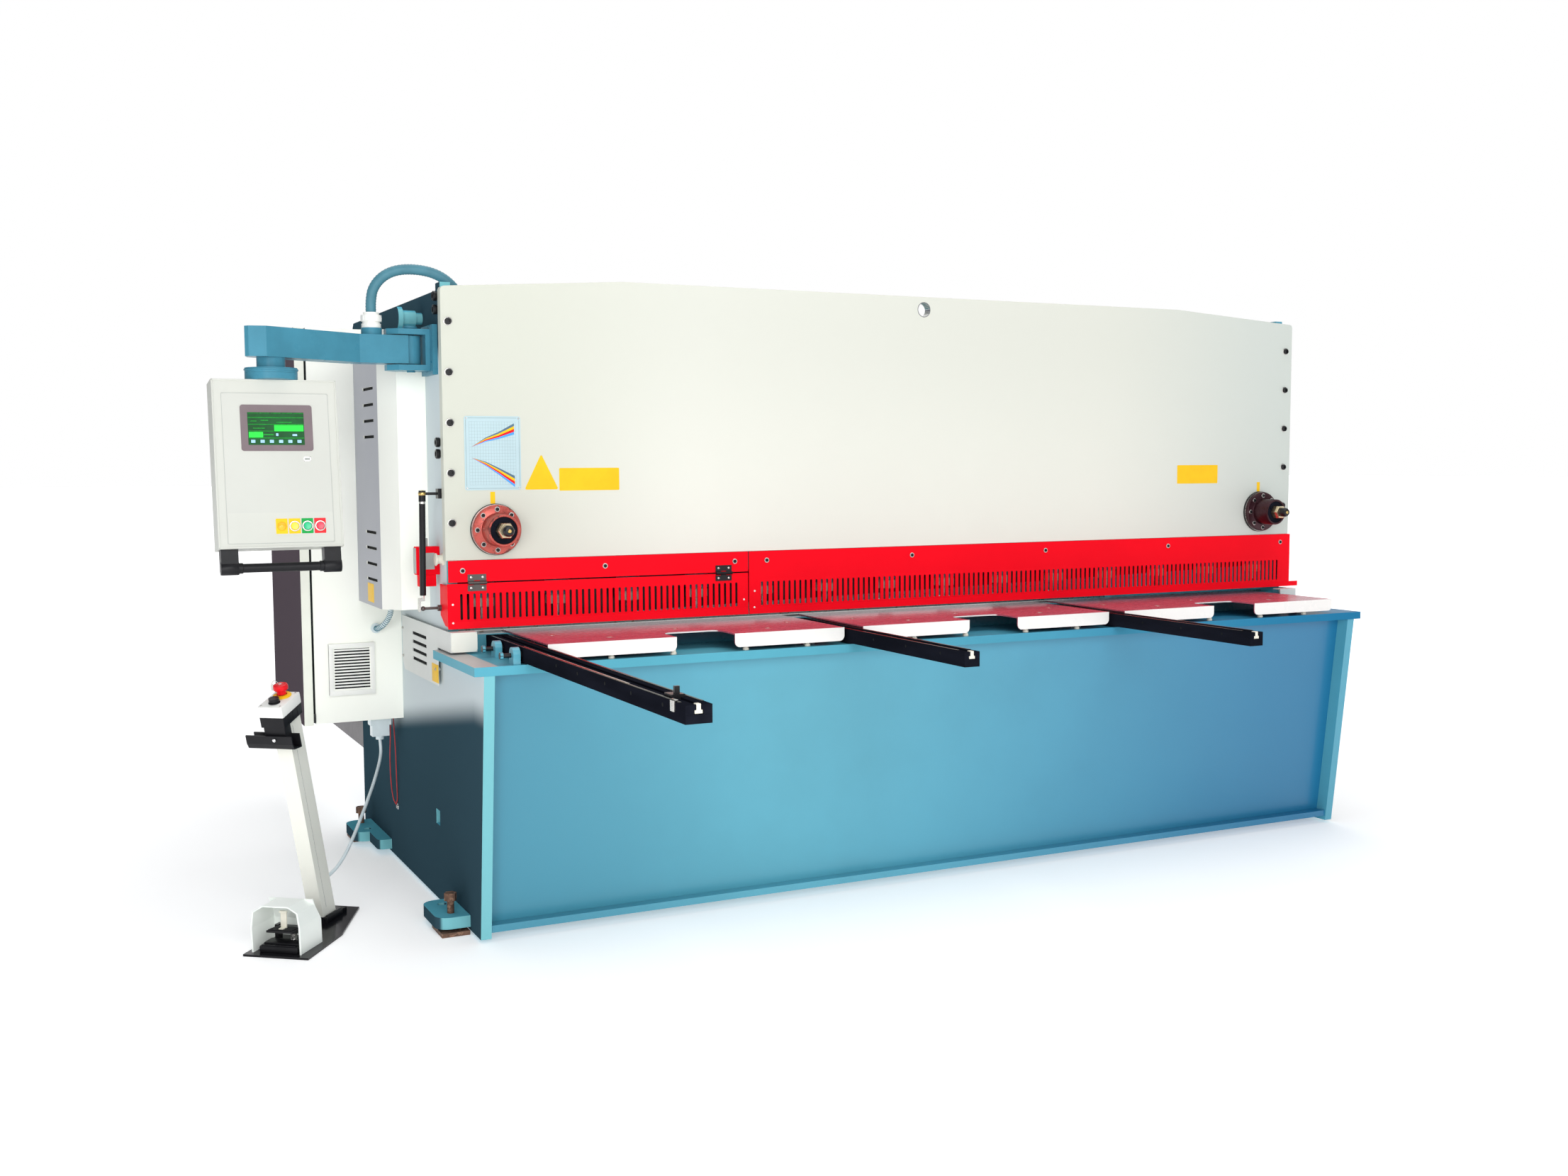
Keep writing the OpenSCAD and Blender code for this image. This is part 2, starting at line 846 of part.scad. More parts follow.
cab_x0 = -half_w - cab_w;
cab_top = cab_z + cab_h;
cab_y1 = cab_y + cab_d;
door_t = 28;
door_gap = 7;
door_x1 = cab_x0 - door_gap;
door_x0 = door_x1 - door_t;
door_pin_x = cab_x0 - 18;
door_pin_y = cab_y1 + 12;
door_pin_r = 4;
door_pin_z = [cab_z + 120, cab_z + cab_h - 180];
barrel_h = 30;
vent_w = 144;
vent_h = 164;
vent_rim = 17;
vent_x = -half_w - 160;
vent_z = cab_z + 88;

module cabinet() {
    color(cream) place() {
        difference() {
            block(cab_x0, -half_w, cab_y, cab_y1, cab_z, cab_top);
            block(cab_x0 - 1, -half_w - cab_t, cab_y + cab_t, cab_y1 - cab_t,
                cab_z + cab_t, cab_top - cab_t);
        }
        block(-half_w - 25, -half_w - 21, cab_y + 30, cab_y1 - 30, cab_z + 50, cab_top - 50);
        for (y = [cab_y + 60, cab_y1 - 60]) {
            for (z = [cab_z + 80, cab_top - 80]) rod_x(-half_w - 22, -half_w - 2, y, z, 8);
        }
        difference() {
            block(vent_x - vent_w / 2, vent_x + vent_w / 2, cab_y - 9, cab_y + e, vent_z,
                vent_z + vent_h);
            block(vent_x - vent_w / 2 + vent_rim, vent_x + vent_w / 2 - vent_rim, cab_y - 12,
                cab_y - 5, vent_z + vent_rim, vent_z + vent_h - vent_rim);
        }
        for (z = door_pin_z) {
            block(cab_x0, cab_x0 + 30, cab_y1 - e, cab_y1 + 4, z, z + barrel_h);
            block(door_pin_x, cab_x0 + 10, cab_y1 + 4 - e, cab_y1 + 8, z, z + barrel_h);
            rod_z(door_pin_x, door_pin_y, z, z + barrel_h, 8);
            rod_z(door_pin_x, door_pin_y, z, z + 2 * barrel_h, door_pin_r);
            block(cab_x0 - 6, cab_x0 + 4, cab_y1 + 4 - e, cab_y1 + 8, z, z + barrel_h);
        }
    }
}

module cabinet_door() {
    color([0.29, 0.26, 0.27]) place() {
        difference() {
            block(door_x0, door_x1, cab_y, cab_y1, cab_z - 4, cab_top);
            block(door_x0 + 2, door_x1 + 1, cab_y + 14, cab_y1 - 14, cab_z + 10, cab_top - 14);
        }
        for (z = door_pin_z) {
            difference() {
                union() {
                    rod_z(door_pin_x, door_pin_y, z + barrel_h + 0.5, z + 2 * barrel_h, 8);
                    block(door_pin_x - 12, door_pin_x, door_pin_y - 8, door_pin_y - 4,
                        z + barrel_h + 0.5, z + 2 * barrel_h);
                    block(door_pin_x - 12, door_pin_x - 8, cab_y1 - 10, door_pin_y - 4,
                        z + barrel_h + 0.5, z + 2 * barrel_h);
                }
                rod_z(door_pin_x, door_pin_y, z + barrel_h, z + 2 * barrel_h + 1,
                    door_pin_r + run);
            }
        }
    }
}

plug_x = -half_w - 65;
plug_y = cab_y + 60;

module cabinet_fittings() {
    color([0.75, 0.78, 0.80]) place() {
        tube_along([for (q = link_route) link_start + q], link_r, 10);
        rod_y(link_start[0], cab_y - 18, cab_y - 9, link_start[2], 16);
        rod_y(link_start[0], cab_y - 18, cab_y, link_start[2], 12);
        block(plug_x - 33, plug_x + 33, plug_y - 22, plug_y + 22, cab_z - 26, cab_z);
        block(plug_x - 27, plug_x + 27, plug_y - 19, plug_y + 19, cab_z - 62, cab_z - 26 + e);
        rod_z(plug_x, plug_y, cab_z - 74, cab_z - 62 + e, 13);
    }
}

// Swinging arm of the control panel

ear_t = 16;
ear_gap = 3;
ear_reach = 72;
ear_flat = 44;
ear_half = 44;
ear_nose = 16;
hub_r = 28;
hub_pin_r = 12;
arm_low = arm_top - tube;

module arm_bracket() {
    z0 = arm_low - ear_gap - ear_t;
    z1 = arm_top + ear_gap + ear_t;
    color(blue) place() {
        block(-half_w - 14, -half_w, hub_y - 75, hub_y + 62, z0 - 12, z1 + 12);
        block(-half_w - 27, -half_w - 14 + e, hub_y - 44, hub_y + 44, z0, z1);
        for (z = [z0, z1 - ear_t]) {
            translate([0, 0, z]) linear_extrude(ear_t) polygon([
                [-half_w - 14 + e, hub_y - ear_half],
                [-half_w - 14 + e, hub_y + ear_half],
                [hub_x - ear_flat, hub_y + ear_half],
                [hub_x - ear_reach, hub_y + ear_nose],
                [hub_x - ear_reach, hub_y - ear_nose],
                [hub_x - ear_flat, hub_y - ear_half]]);
        }
        rod_z(hub_x, hub_y, z0 - 4, z1 + 4, hub_pin_r);
    }
}

module arm_outer_frame() {
    translate([bend_x, hub_y, 0]) rotate([0, 0, arm_angle]) children();
}

boss_r = 68;
boss_z = arm_low - 28;
boss_h = 13;
swivel_r = 20;
bend_in = tube / 2 * tan(arm_angle / 2);
arm_cut = 32;

module panel_arm() {
    color(blue) place() {
        difference() {
            union() {
                block(bend_x, hub_x - 15, hub_y - tube / 2, hub_y + tube / 2, arm_low, arm_top);
                rod_z(hub_x, hub_y, arm_low, arm_top, hub_r);
                block(hub_x - 20, hub_x, hub_y - hub_r, hub_y + hub_r, arm_low, arm_top);
                arm_outer_frame() {
                    translate([0, 0, arm_low]) linear_extrude(arm_top - arm_low) polygon([
                        [bend_in, -tube / 2],
                        [bend_in, tube / 2],
                        [arm_cut - arm_outer, tube / 2],
                        [-arm_outer, tube / 2 - arm_cut],
                        [-arm_outer, arm_cut - tube / 2],
                        [arm_cut - arm_outer, -tube / 2]]);
                }
                rod_z(boss_x, boss_y, boss_z - 2, arm_low + e, 37);
                rod_z(boss_x, boss_y, boss_z - boss_h, boss_z, boss_r);
                rod_z(gland_x, gland_y, arm_top - e, gland_z, 29);
            }
            rod_z(hub_x, hub_y, arm_low - 1, arm_top + 1, hub_pin_r + run);
            rod_z(boss_x, boss_y, boss_z - boss_h - 1, arm_low - 8, swivel_r + run);
        }
    }
}

gland_x = hub_x - 110;
gland_y = hub_y;
gland_z = arm_top + 20;
gland_h = 44;
conduit_r = 15;

module conduit_gland() {
    color([0.95, 0.95, 0.95]) place() {
        rod_z(gland_x, gland_y, gland_z, gland_z + 12, 27);
        rod_z(gland_x, gland_y, gland_z + 12 - e, gland_z + 18, 24);
        rod_z(gland_x, gland_y, gland_z + 18 - e, gland_z + 36, 29);
        rod_z(gland_x, gland_y, gland_z + 36 - e, gland_z + gland_h, 22);
    }
}

// Free cords: each tube follows its list of points, which are placed by hand.

function unit(v) = v / norm(v);
function tangent(p, i) = unit(p[min(i + 1, len(p) - 1)] - p[max(i - 1, 0)]);
function side_of(t) = unit(cross(abs(t[2]) > 0.9 ? [1, 0, 0] : [0, 0, 1], t));

// The ring's first side is carried along the route, so that the tube doesn't twist.
function carry(p, i) = i == 0 ? side_of(tangent(p, 0))
    : let (prior = carry(p, i - 1), t = tangent(p, i)) unit(prior - (prior * t) * t);

module tube_along(p, r, sides) {
    rings = [for (i = [0:len(p) - 1])
        let (t = tangent(p, i), a = carry(p, i), b = cross(t, a))
        [for (k = [0:sides - 1]) p[i] + r * (cos(360 * k / sides) * a + sin(360 * k / sides) * b)]];
    last = (len(p) - 1) * sides;
    polyhedron(
        points = [for (ring = rings) for (q = ring) q],
        faces = concat(
            [[for (k = [0:sides - 1]) k]],
            [for (i = [0:len(p) - 2]) for (k = [0:sides - 1])
                [i * sides + k, (i + 1) * sides + k, (i + 1) * sides + (k + 1) % sides,
                    i * sides + (k + 1) % sides]],
            [[for (k = [0:sides - 1]) last + sides - 1 - k]]));
}

// Offsets from the gland's top to where the conduit dips behind the panel.
conduit_route = [
    [0, 0, 0], [0, 0, 20], [1, -3, 40], [5, -7, 62], [17, -10, 84], [35, -13, 102],
    [58, -16, 115], [84, -20, 122], [112, -24, 124], [141, -28, 122], [169, -32, 116],
    [194, -36, 105], [215, -39, 90], [231, -41, 72], [238, -42, 52], [238, -42, 31]];
conduit_start = [gland_x, gland_y, gland_z + gland_h];
conduit_end = conduit_start + conduit_route[len(conduit_route) - 1];

module arm_conduit() {
    color(blue) place() {
        tube_along([for (q = conduit_route) conduit_start + q], conduit_r, 12);
    }
}

// Control box, leaning back about its own lower front edge.

box_z = boss_z - boss_h - 17.5 - box_h / 2;
box_y = boss_y - 74;
coupling_top = boss_z - boss_h - seat;

module box_frame() {
    translate([boss_x, box_y, box_z]) rotate([-box_tilt, 0, 0]) children();
}

module panel_coupling() {
    color(blue) place() {
        difference() {
            union() {
                rod_z(boss_x, boss_y, coupling_top - 40, coupling_top, boss_r);
                rod_z(boss_x, boss_y, coupling_top - e, arm_low - 14, swivel_r);
            }
            box_frame() block(-100, 100, -200, 260, -100, box_h / 2);
        }
    }
}

button_x = [34, 67, 100];
button_z = 56 - box_h / 2;
button_r = 10;
box_t = 5;

module control_box() {
    color(cream) place() {
        box_frame() {
            difference() {
                block(-box_w / 2, box_w / 2, 0, box_d, -box_h / 2, box_h / 2);
                block(-box_w / 2 + box_t, box_w / 2 - box_t, box_t, box_d - box_t,
                    -box_h / 2 + box_t, box_h / 2 - box_t);
                for (x = button_x) rod_y(x, -1, box_t + 1, button_z, button_r + run);
            }
        }
    }
}

module push_button(x) {
    box_frame() {
        rod_y(x, -7, 14, button_z, button_r);
        rod_y(x, 13, 16, button_z, button_r + 4);
    }
}

module yellow_button() {
    color([0.95, 0.75, 0.15]) place() push_button(button_x[0]);
}

module green_button() {
    color([0.1, 0.7, 0.3]) place() push_button(button_x[1]);
}

module red_button() {
    color(red) place() push_button(button_x[2]);
}

handle_x = box_w / 2 - 28;

module box_handle() {
    color(black) place() {
        box_frame() {
            for (s = [-1, 1]) {
                block(s * handle_x - 22, s * handle_x + 22, 14, 54, -box_h / 2 - 44, -box_h / 2);
                rod_x(s * handle_x - 23, s * handle_x + 23, 27, -box_h / 2 - 50, 17);
            }
            rod_x(-handle_x, handle_x, 27, -box_h / 2 - 50, 12);
        }
    }
}

// Foot unit, drawn with its own X across and Y away from the operator.

foot_x = -half_w - 623;
foot_y = 245;
foot_plate_t = 6;

module foot_frame() {
    translate([foot_x, foot_y, 0]) rotate([0, 0, foot_turn]) children();
}

hood_x0 = 15;
hood_x1 = foot_w - 33;
hood_y0 = 58;
hood_len = 120;
hood_t = 3;
hood_drop = 64;
hood_slant = 27;

module foot_base() {
    color(black) place() {
        foot_frame() {
            linear_extrude(foot_plate_t) polygon([
                [0, 38], [foot_w, 38], [foot_w - 14, 262], [foot_w - 87, 512], [0, 512]]);
            block(hood_x0 + 24, hood_x1 - 18, hood_y0 + 8, pedal_y + 12, foot_plate_t - e, 26);
            difference() {
                for (x = [hood_x0 + 24, hood_x1 - 28]) {
                    block(x, x + 10, pedal_y - 12, pedal_y + 12, 26 - e, 60);
                }
                rod_x(hood_x0, hood_x1, pedal_y, pedal_z, pedal_pin_r + run);
            }
            block(column_x - 6, column_x + column_w + 6, column_y - 6, column_y + 130,
                foot_plate_t - e, 20);
        }
    }
}

hood_mid = (hood_x0 + hood_x1) / 2;
hood_half = (hood_x1 - hood_x0) / 2;

// Half outline of the hood, seen from the front, shrunk by d.
function hood_points(d) = [
    [hood_x0 + 2 + d, foot_plate_t],
    [hood_x0 - 1 + d, 72],
    [hood_x0 + 4 + d, hood_h - 18 - d / 2],
    [hood_x0 + 33 + d / 2, hood_h - d],
    [hood_x1 - 33 - d / 2, hood_h - d],
    [hood_x1 - 7 - d, hood_h - 16 - d / 2],
    [hood_x1 - 1 - d, 80],
    [hood_x1 + 1 - d, foot_plate_t]];

module pedal_hood() {
    color([0.80, 0.83, 0.80]) place() {
        foot_frame() {
            difference() {
                xz_plate(hood_y0, hood_y0 + hood_len, hood_points(0));
                xz_plate(hood_y0 - 1, hood_y0 + hood_len - hood_t, hood_points(hood_t));
                translate([0, hood_y0 + hood_len, hood_h - hood_drop]) rotate([hood_slant, 0, 0])
                    block(-20, foot_w + 20, 0, 90, 0, 120);
            }
            difference() {
                translate([0, hood_y0 + hood_len, hood_h - hood_drop]) rotate([hood_slant, 0, 0])
                    block(hood_x0 + 4, hood_x1 - 4, -hood_t, 0, 0, 80);
                translate([0, hood_y0, 0]) block(-20, foot_w + 20, -50, hood_len, hood_h - 0.5, 300);
                translate([0, hood_y0, 0]) block(-20, foot_w + 20, -50, 60, 0, 300);
                block(-20, hood_x0 + 6, 0, 300, 0, 300);
                block(hood_x1 - 6, foot_w + 20, 0, 300, 0, 300);
            }
        }
    }
}

pedal_y = 150;
pedal_z = 48;
pedal_pin_r = 4;

module foot_pedal() {
    x0 = hood_x0 + 36;
    x1 = hood_x1 - 30;
    color(black) place() {
        foot_frame() {
            yz_plate(x0, x1, [
                [hood_y0 + 14, 58], [hood_y0 + 14, 64], [pedal_y - 9, 58], [pedal_y + 8, 56],
                [pedal_y + 8, 42], [pedal_y - 9, 42]]);
            rod_x(x0, x1, pedal_y, pedal_z, 9);
            rod_x(hood_x0 + 24, hood_x1 - 18, pedal_y, pedal_z, pedal_pin_r);
        }
    }
}

column_x = 34;
column_y = 338;
column_w = 45;
column_d = 72;

module column_frame() {
    translate([column_x, column_y, 20]) rotate([column_lean, 0, 0]) children();
}

module foot_column() {
    color(cream) place() {
        foot_frame() {
            difference() {
                column_frame() block(0, column_w, 0, column_d, -30, column_h);
                block(-200, 400, 0, 700, -100, 20);
            }
        }
    }
}

handle_out = 58;
stop_w = 72;
stop_l = 106;
stop_h = 62;
stop_hole_r = 12;

// The box stands on the column's end, with its face square to the column.
module stop_frame() {
    column_frame() translate([column_w / 2, column_d / 2 - 20, column_h]) children();
}

module stop_box() {
    color([0.88, 0.89, 0.86]) place() {
        foot_frame() {
            stop_frame() {
                difference() {
                    block(-stop_w / 2, stop_w / 2, -stop_l / 2, stop_l / 2, 0, stop_h);
                    rod_z(0, 22, stop_h - 12, stop_h + 1, stop_hole_r);
                    rod_z(0, -22, stop_h - 12, stop_h + 1, stop_hole_r);
                }
            }
        }
    }
}

module stop_button() {
    color(red) place() {
        foot_frame() {
            stop_frame() {
                rod_z(0, 22, stop_h - 6, stop_h + 20, stop_hole_r - 1);
                rod_z(0, 22, stop_h + 19, stop_h + 36, 20);
            }
        }
    }
}

module start_button() {
    color(black) place() {
        foot_frame() {
            stop_frame() {
                rod_z(0, -22, stop_h - 7, stop_h + 6, stop_hole_r - 1);
                rod_z(0, -22, stop_h + 5, stop_h + 14, 14);
            }
        }
    }
}

// Carrying handle: a bent sheet across the front of the column.
module foot_handle() {
    color(black) place() {
        foot_frame() {
            column_frame() {
                yz_plate(-handle_out, column_w + handle_out - 26, [
                    [0, column_h - 70], [-4, column_h - 70], [-40, column_h - 60],
                    [-46, column_h - 44], [-46, column_h - 20], [-42, column_h - 20],
                    [-42, column_h - 42], [-37, column_h - 56], [-4, column_h - 66],
                    [-4, column_h - 30], [0, column_h - 30]]);
            }
        }
    }
}

// Pedal cable: offsets from the connector's outlet.
cable_r = 5;
cable_start = [plug_x, plug_y, cab_z - 74];
cable_route = [
    [0, 0, 0], [1, -2, -18], [0, -10, -36], [-6, -28, -54], [-16, -54, -70],
    [-30, -88, -88], [-46, -126, -106], [-64, -166, -126], [-84, -208, -147],
    [-104, -250, -168], [-125, -292, -189], [-146, -334, -210], [-168, -376, -231],
    [-190, -416, -251], [-213, -452, -270], [-238, -484, -286], [-262, -508, -297],
    [-280, -524, -302]];

module pedal_cable() {
    color([0.72, 0.78, 0.80]) place() {
        tube_along([for (q = cable_route) cable_start + q], cable_r, 10);
    }
}

// Earth wires: from the cabinet's underside to one bolt on the side plate.
wire_r = 1.75;
wire_a = [[0, 0, 0], [0, 0, -20], [-1, 2, -75], [-3, 5, -140], [-2, 8, -205],
    [2, 10, -258], [8, 12, -290], [16, 13, -306]];
wire_b = [[10, 0, 0], [10, 0, -20], [12, -2, -75], [14, -3, -140], [15, -2, -205],
    [17, 2, -258], [18, 8, -288], [16, 13, -302]];
wire_start = [-half_w - 22, cab_y + 97, cab_z];

module earth_wires() {
    color(red) place() {
        tube_along([for (q = wire_a) wire_start + q], wire_r, 8);
        tube_along([for (q = wire_b) wire_start + q], wire_r, 8);
    }
}

// Conduit from the cabinet's front to the underside of the side cover.
link_r = 8;
link_start = [-half_w - 84, cab_y - 18, 796];
link_route = [
    [0, 0, 0], [0, -12, 0], [4, -26, 4], [12, -40, 12], [22, -52, 26],
    [30, -60, 44], [34, -66, 64], [36, -70, 89]];

// Jack bolts and the plates that they stand on.
pad_t = 12;
pad_half = 40;
pad_long = 58;

module jack_bolts() {
    color([0.35, 0.24, 0.20]) place() {
        for (s = [-1, 1]) {
            for (y = [jack_front_y, jack_rear_y]) {
                x = s * (half_w + anchor_out);
                rod_z(x, y, pad_t - e, lug_z + lug_t + 38, jack_r);
                translate([x, y, lug_z + lug_t + 36]) cylinder(h = 22, r = 18, $fn = 6);
                block(x - pad_half, x + pad_half, y - pad_long, y + pad_long, 0, pad_t);
            }
        }
    }
}

// Back of the machine

module rear_beam() {
    color(blue) place() {
        difference() {
            block(-inner, inner, frame_depth - 220, frame_depth - 60, ground_gap + 30,
                ground_gap + 250);
            block(-inner - 1, inner + 1, frame_depth - 200, frame_depth - 80, ground_gap + 50,
                ground_gap + 230);
        }
    }
}

tank_y0 = throat_y + 320;
tank_y1 = tank_y0 + 420;
tank_z0 = plate_top - 330;
tank_z1 = plate_top - 30;
tank_t = 6;
filler_x = -120;
filler_y = (tank_y0 + tank_y1) / 2;
filler_r = 50;

module oil_tank() {
    color(blue) place() {
        difference() {
            block(-inner, inner, tank_y0, tank_y1, tank_z0, tank_z1);
            block(-inner + tank_t, inner - tank_t, tank_y0 + tank_t, tank_y1 - tank_t,
                tank_z0 + tank_t, tank_z1 - tank_t);
            rod_z(filler_x, filler_y, tank_z1 - 20, tank_z1 + 1, filler_r - 6);
        }
        difference() {
            rod_z(filler_x, filler_y, tank_z1 - e, tank_z1 + 24, filler_r);
            rod_z(filler_x, filler_y, tank_z1 - 1, tank_z1 + 18, filler_r - 6);
        }
        block(60, 120 + e, tank_y1 - e, tank_y1 + 190, tank_z1 - 230, tank_z1 - 70);
        rod_x(120, 420, tank_y1 + 110, tank_z1 - 150, 90);
        block(160, 380, tank_y1 - e, tank_y1 + 40, tank_z1 - 170, tank_z1 - 130);
    }
}

gauge_y = frame_depth - 330;
gauge_drop = 138;

module back_gauge() {
    color(steel) place() {
        block(-inner + 60, inner - 60, gauge_y, gauge_y + 60, sheet_z - gauge_drop, sheet_z + 90);
        for (s = [-1, 1]) {
            mirror([s < 0 ? 1 : 0, 0, 0]) {
                block(inner - 50, inner, beam_y + beam_t + 120, frame_depth - 40,
                    sheet_z + 110, sheet_z + 170);
                block(inner - 110, inner - 20, gauge_y - 40, gauge_y + 100,
                    sheet_z + 90 - e, sheet_z + 110 + e);
            }
        }
    }
}

module sheet_chute() {
    color(blue) place() {
        yz_plate(-inner, inner, [
            [cut_y + 30, bed_z - 120], [cut_y + 30, bed_z - 116],
            [frame_depth - 60, 330], [frame_depth + 60, 330],
            [frame_depth + 60, 326], [frame_depth - 62, 326]]);
    }
}

rear_guard_z0 = 294;
rear_guard_z1 = 1180;

module rear_guards() {
    color([0.33, 0.29, 0.30]) place() {
        for (s = [-1, 1]) {
            x0 = s < 0 ? -half_w : half_w - 3;
            block(x0, x0 + 3, frame_depth, rear_guard_y, rear_guard_z0, rear_guard_z1);
            block(s < 0 ? -half_w : half_w - 30, s < 0 ? -half_w + 30 : half_w,
                rear_guard_y - 3, rear_guard_y, rear_guard_z0, rear_guard_z1);
        }
    }
}

left_side_plate();
right_side_plate();
front_apron();
table_bed();
blade_holder();
lower_blade();
table_covers();
squaring_arm();
support_arms();
arm_adjusters();
arm_stop();
front_panel();
shaft_flanges();
drive_cylinders();
blade_beam();
upper_blade();
hold_down_rail();
hold_down_feet();
fixed_guard();
guard_flap();
flap_hinges();
flap_fittings();
strut_stud();
strut_cylinder();
strut_rod();
side_cover();
end_covers();
cabinet();
cabinet_door();
cabinet_fittings();
arm_bracket();
panel_arm();
conduit_gland();
arm_conduit();
panel_coupling();
control_box();
box_handle();
yellow_button();
green_button();
red_button();
foot_base();
foot_column();
pedal_hood();
foot_pedal();
stop_box();
stop_button();
start_button();
foot_handle();
pedal_cable();
earth_wires();
jack_bolts();
rear_beam();
oil_tank();
back_gauge();
sheet_chute();
rear_guards();
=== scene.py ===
"""Looks of the hydraulic guillotine shear. Places are machine millimetres: X from the
middle, Y from the table's front edge, Z from the floor. at() turns them into the row frame."""

import math

import bmesh
import bpy
from mathutils import Matrix, Vector


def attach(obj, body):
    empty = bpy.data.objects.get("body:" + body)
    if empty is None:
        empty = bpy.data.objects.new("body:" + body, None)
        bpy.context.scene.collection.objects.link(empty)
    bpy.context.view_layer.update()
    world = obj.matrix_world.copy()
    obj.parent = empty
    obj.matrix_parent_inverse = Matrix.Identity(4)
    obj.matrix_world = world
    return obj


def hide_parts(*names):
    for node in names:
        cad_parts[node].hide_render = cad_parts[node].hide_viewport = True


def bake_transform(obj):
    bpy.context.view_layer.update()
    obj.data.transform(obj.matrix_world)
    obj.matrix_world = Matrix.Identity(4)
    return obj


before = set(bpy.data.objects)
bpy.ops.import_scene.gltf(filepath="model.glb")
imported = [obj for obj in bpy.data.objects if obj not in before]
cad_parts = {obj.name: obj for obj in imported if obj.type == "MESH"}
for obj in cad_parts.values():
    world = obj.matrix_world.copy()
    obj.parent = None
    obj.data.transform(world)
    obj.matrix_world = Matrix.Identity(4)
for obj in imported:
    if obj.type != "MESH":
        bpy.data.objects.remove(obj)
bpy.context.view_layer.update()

SHIFT = Vector((0.268432, -0.569, 0.0))
X, Y, Z = Vector((1, 0, 0)), Vector((0, 1, 0)), Vector((0, 0, 1))
HALF_W = 1580
PANEL_Y = 345
GUARD_Y = 342
HINGE_Z = 977
BED_Z = 777
SHEET_Z = 828


def at(x, y, z):
    return Vector((x, y, z)) * 0.001 + SHIFT


def moved(x, y, z, turn_x=0.0, turn_z=0.0):
    turned = Matrix.Rotation(math.radians(turn_z), 4, "Z") @ Matrix.Rotation(math.radians(turn_x), 4, "X")
    return Matrix.Translation((x, y, z)) @ turned


BOSS = (-2049.86, 351.67)
BOX_FRAME = moved(BOSS[0], BOSS[1] - 74, 1320, -7.6) @ Matrix.Translation((0, 0, -3))
FOOT_FRAME = moved(-2203, 245, 0, 0, -37.5)
COLUMN_FRAME = FOOT_FRAME @ moved(34, 338, 20, 16.2)
STOP_FRAME = COLUMN_FRAME @ moved(22.5, 16, 620)

# Materials


def node(tree, kind, **values):
    made = tree.nodes.new(kind)
    for name, value in values.items():
        if name in made.inputs:
            made.inputs[name].default_value = value
        else:
            setattr(made, name, value)
    return made


def maths(tree, operation, a, b):
    made = node(tree, "ShaderNodeMath", operation=operation, use_clamp=True)
    for socket, value in zip(made.inputs, (a, b)):
        if isinstance(value, (int, float)):
            socket.default_value = value
        else:
            tree.links.new(value, socket)
    return made.outputs[0]


def mixed(tree, factor, a, b):
    made = node(tree, "ShaderNodeMix", data_type="RGBA")
    for socket, value in ((made.inputs[0], factor), (made.inputs[6], a), (made.inputs[7], b)):
        if isinstance(value, (int, float)):
            socket.default_value = value
        elif isinstance(value, tuple):
            socket.default_value = (*value, 1)
        else:
            tree.links.new(value, socket)
    return made.outputs[2]


def ramp(tree, value, low, high):
    made = node(tree, "ShaderNodeMapRange", interpolation_type="SMOOTHSTEP")
    made.inputs["From Min"].default_value = low
    made.inputs["From Max"].default_value = high
    tree.links.new(value, made.inputs["Value"])
    return made.outputs[0]


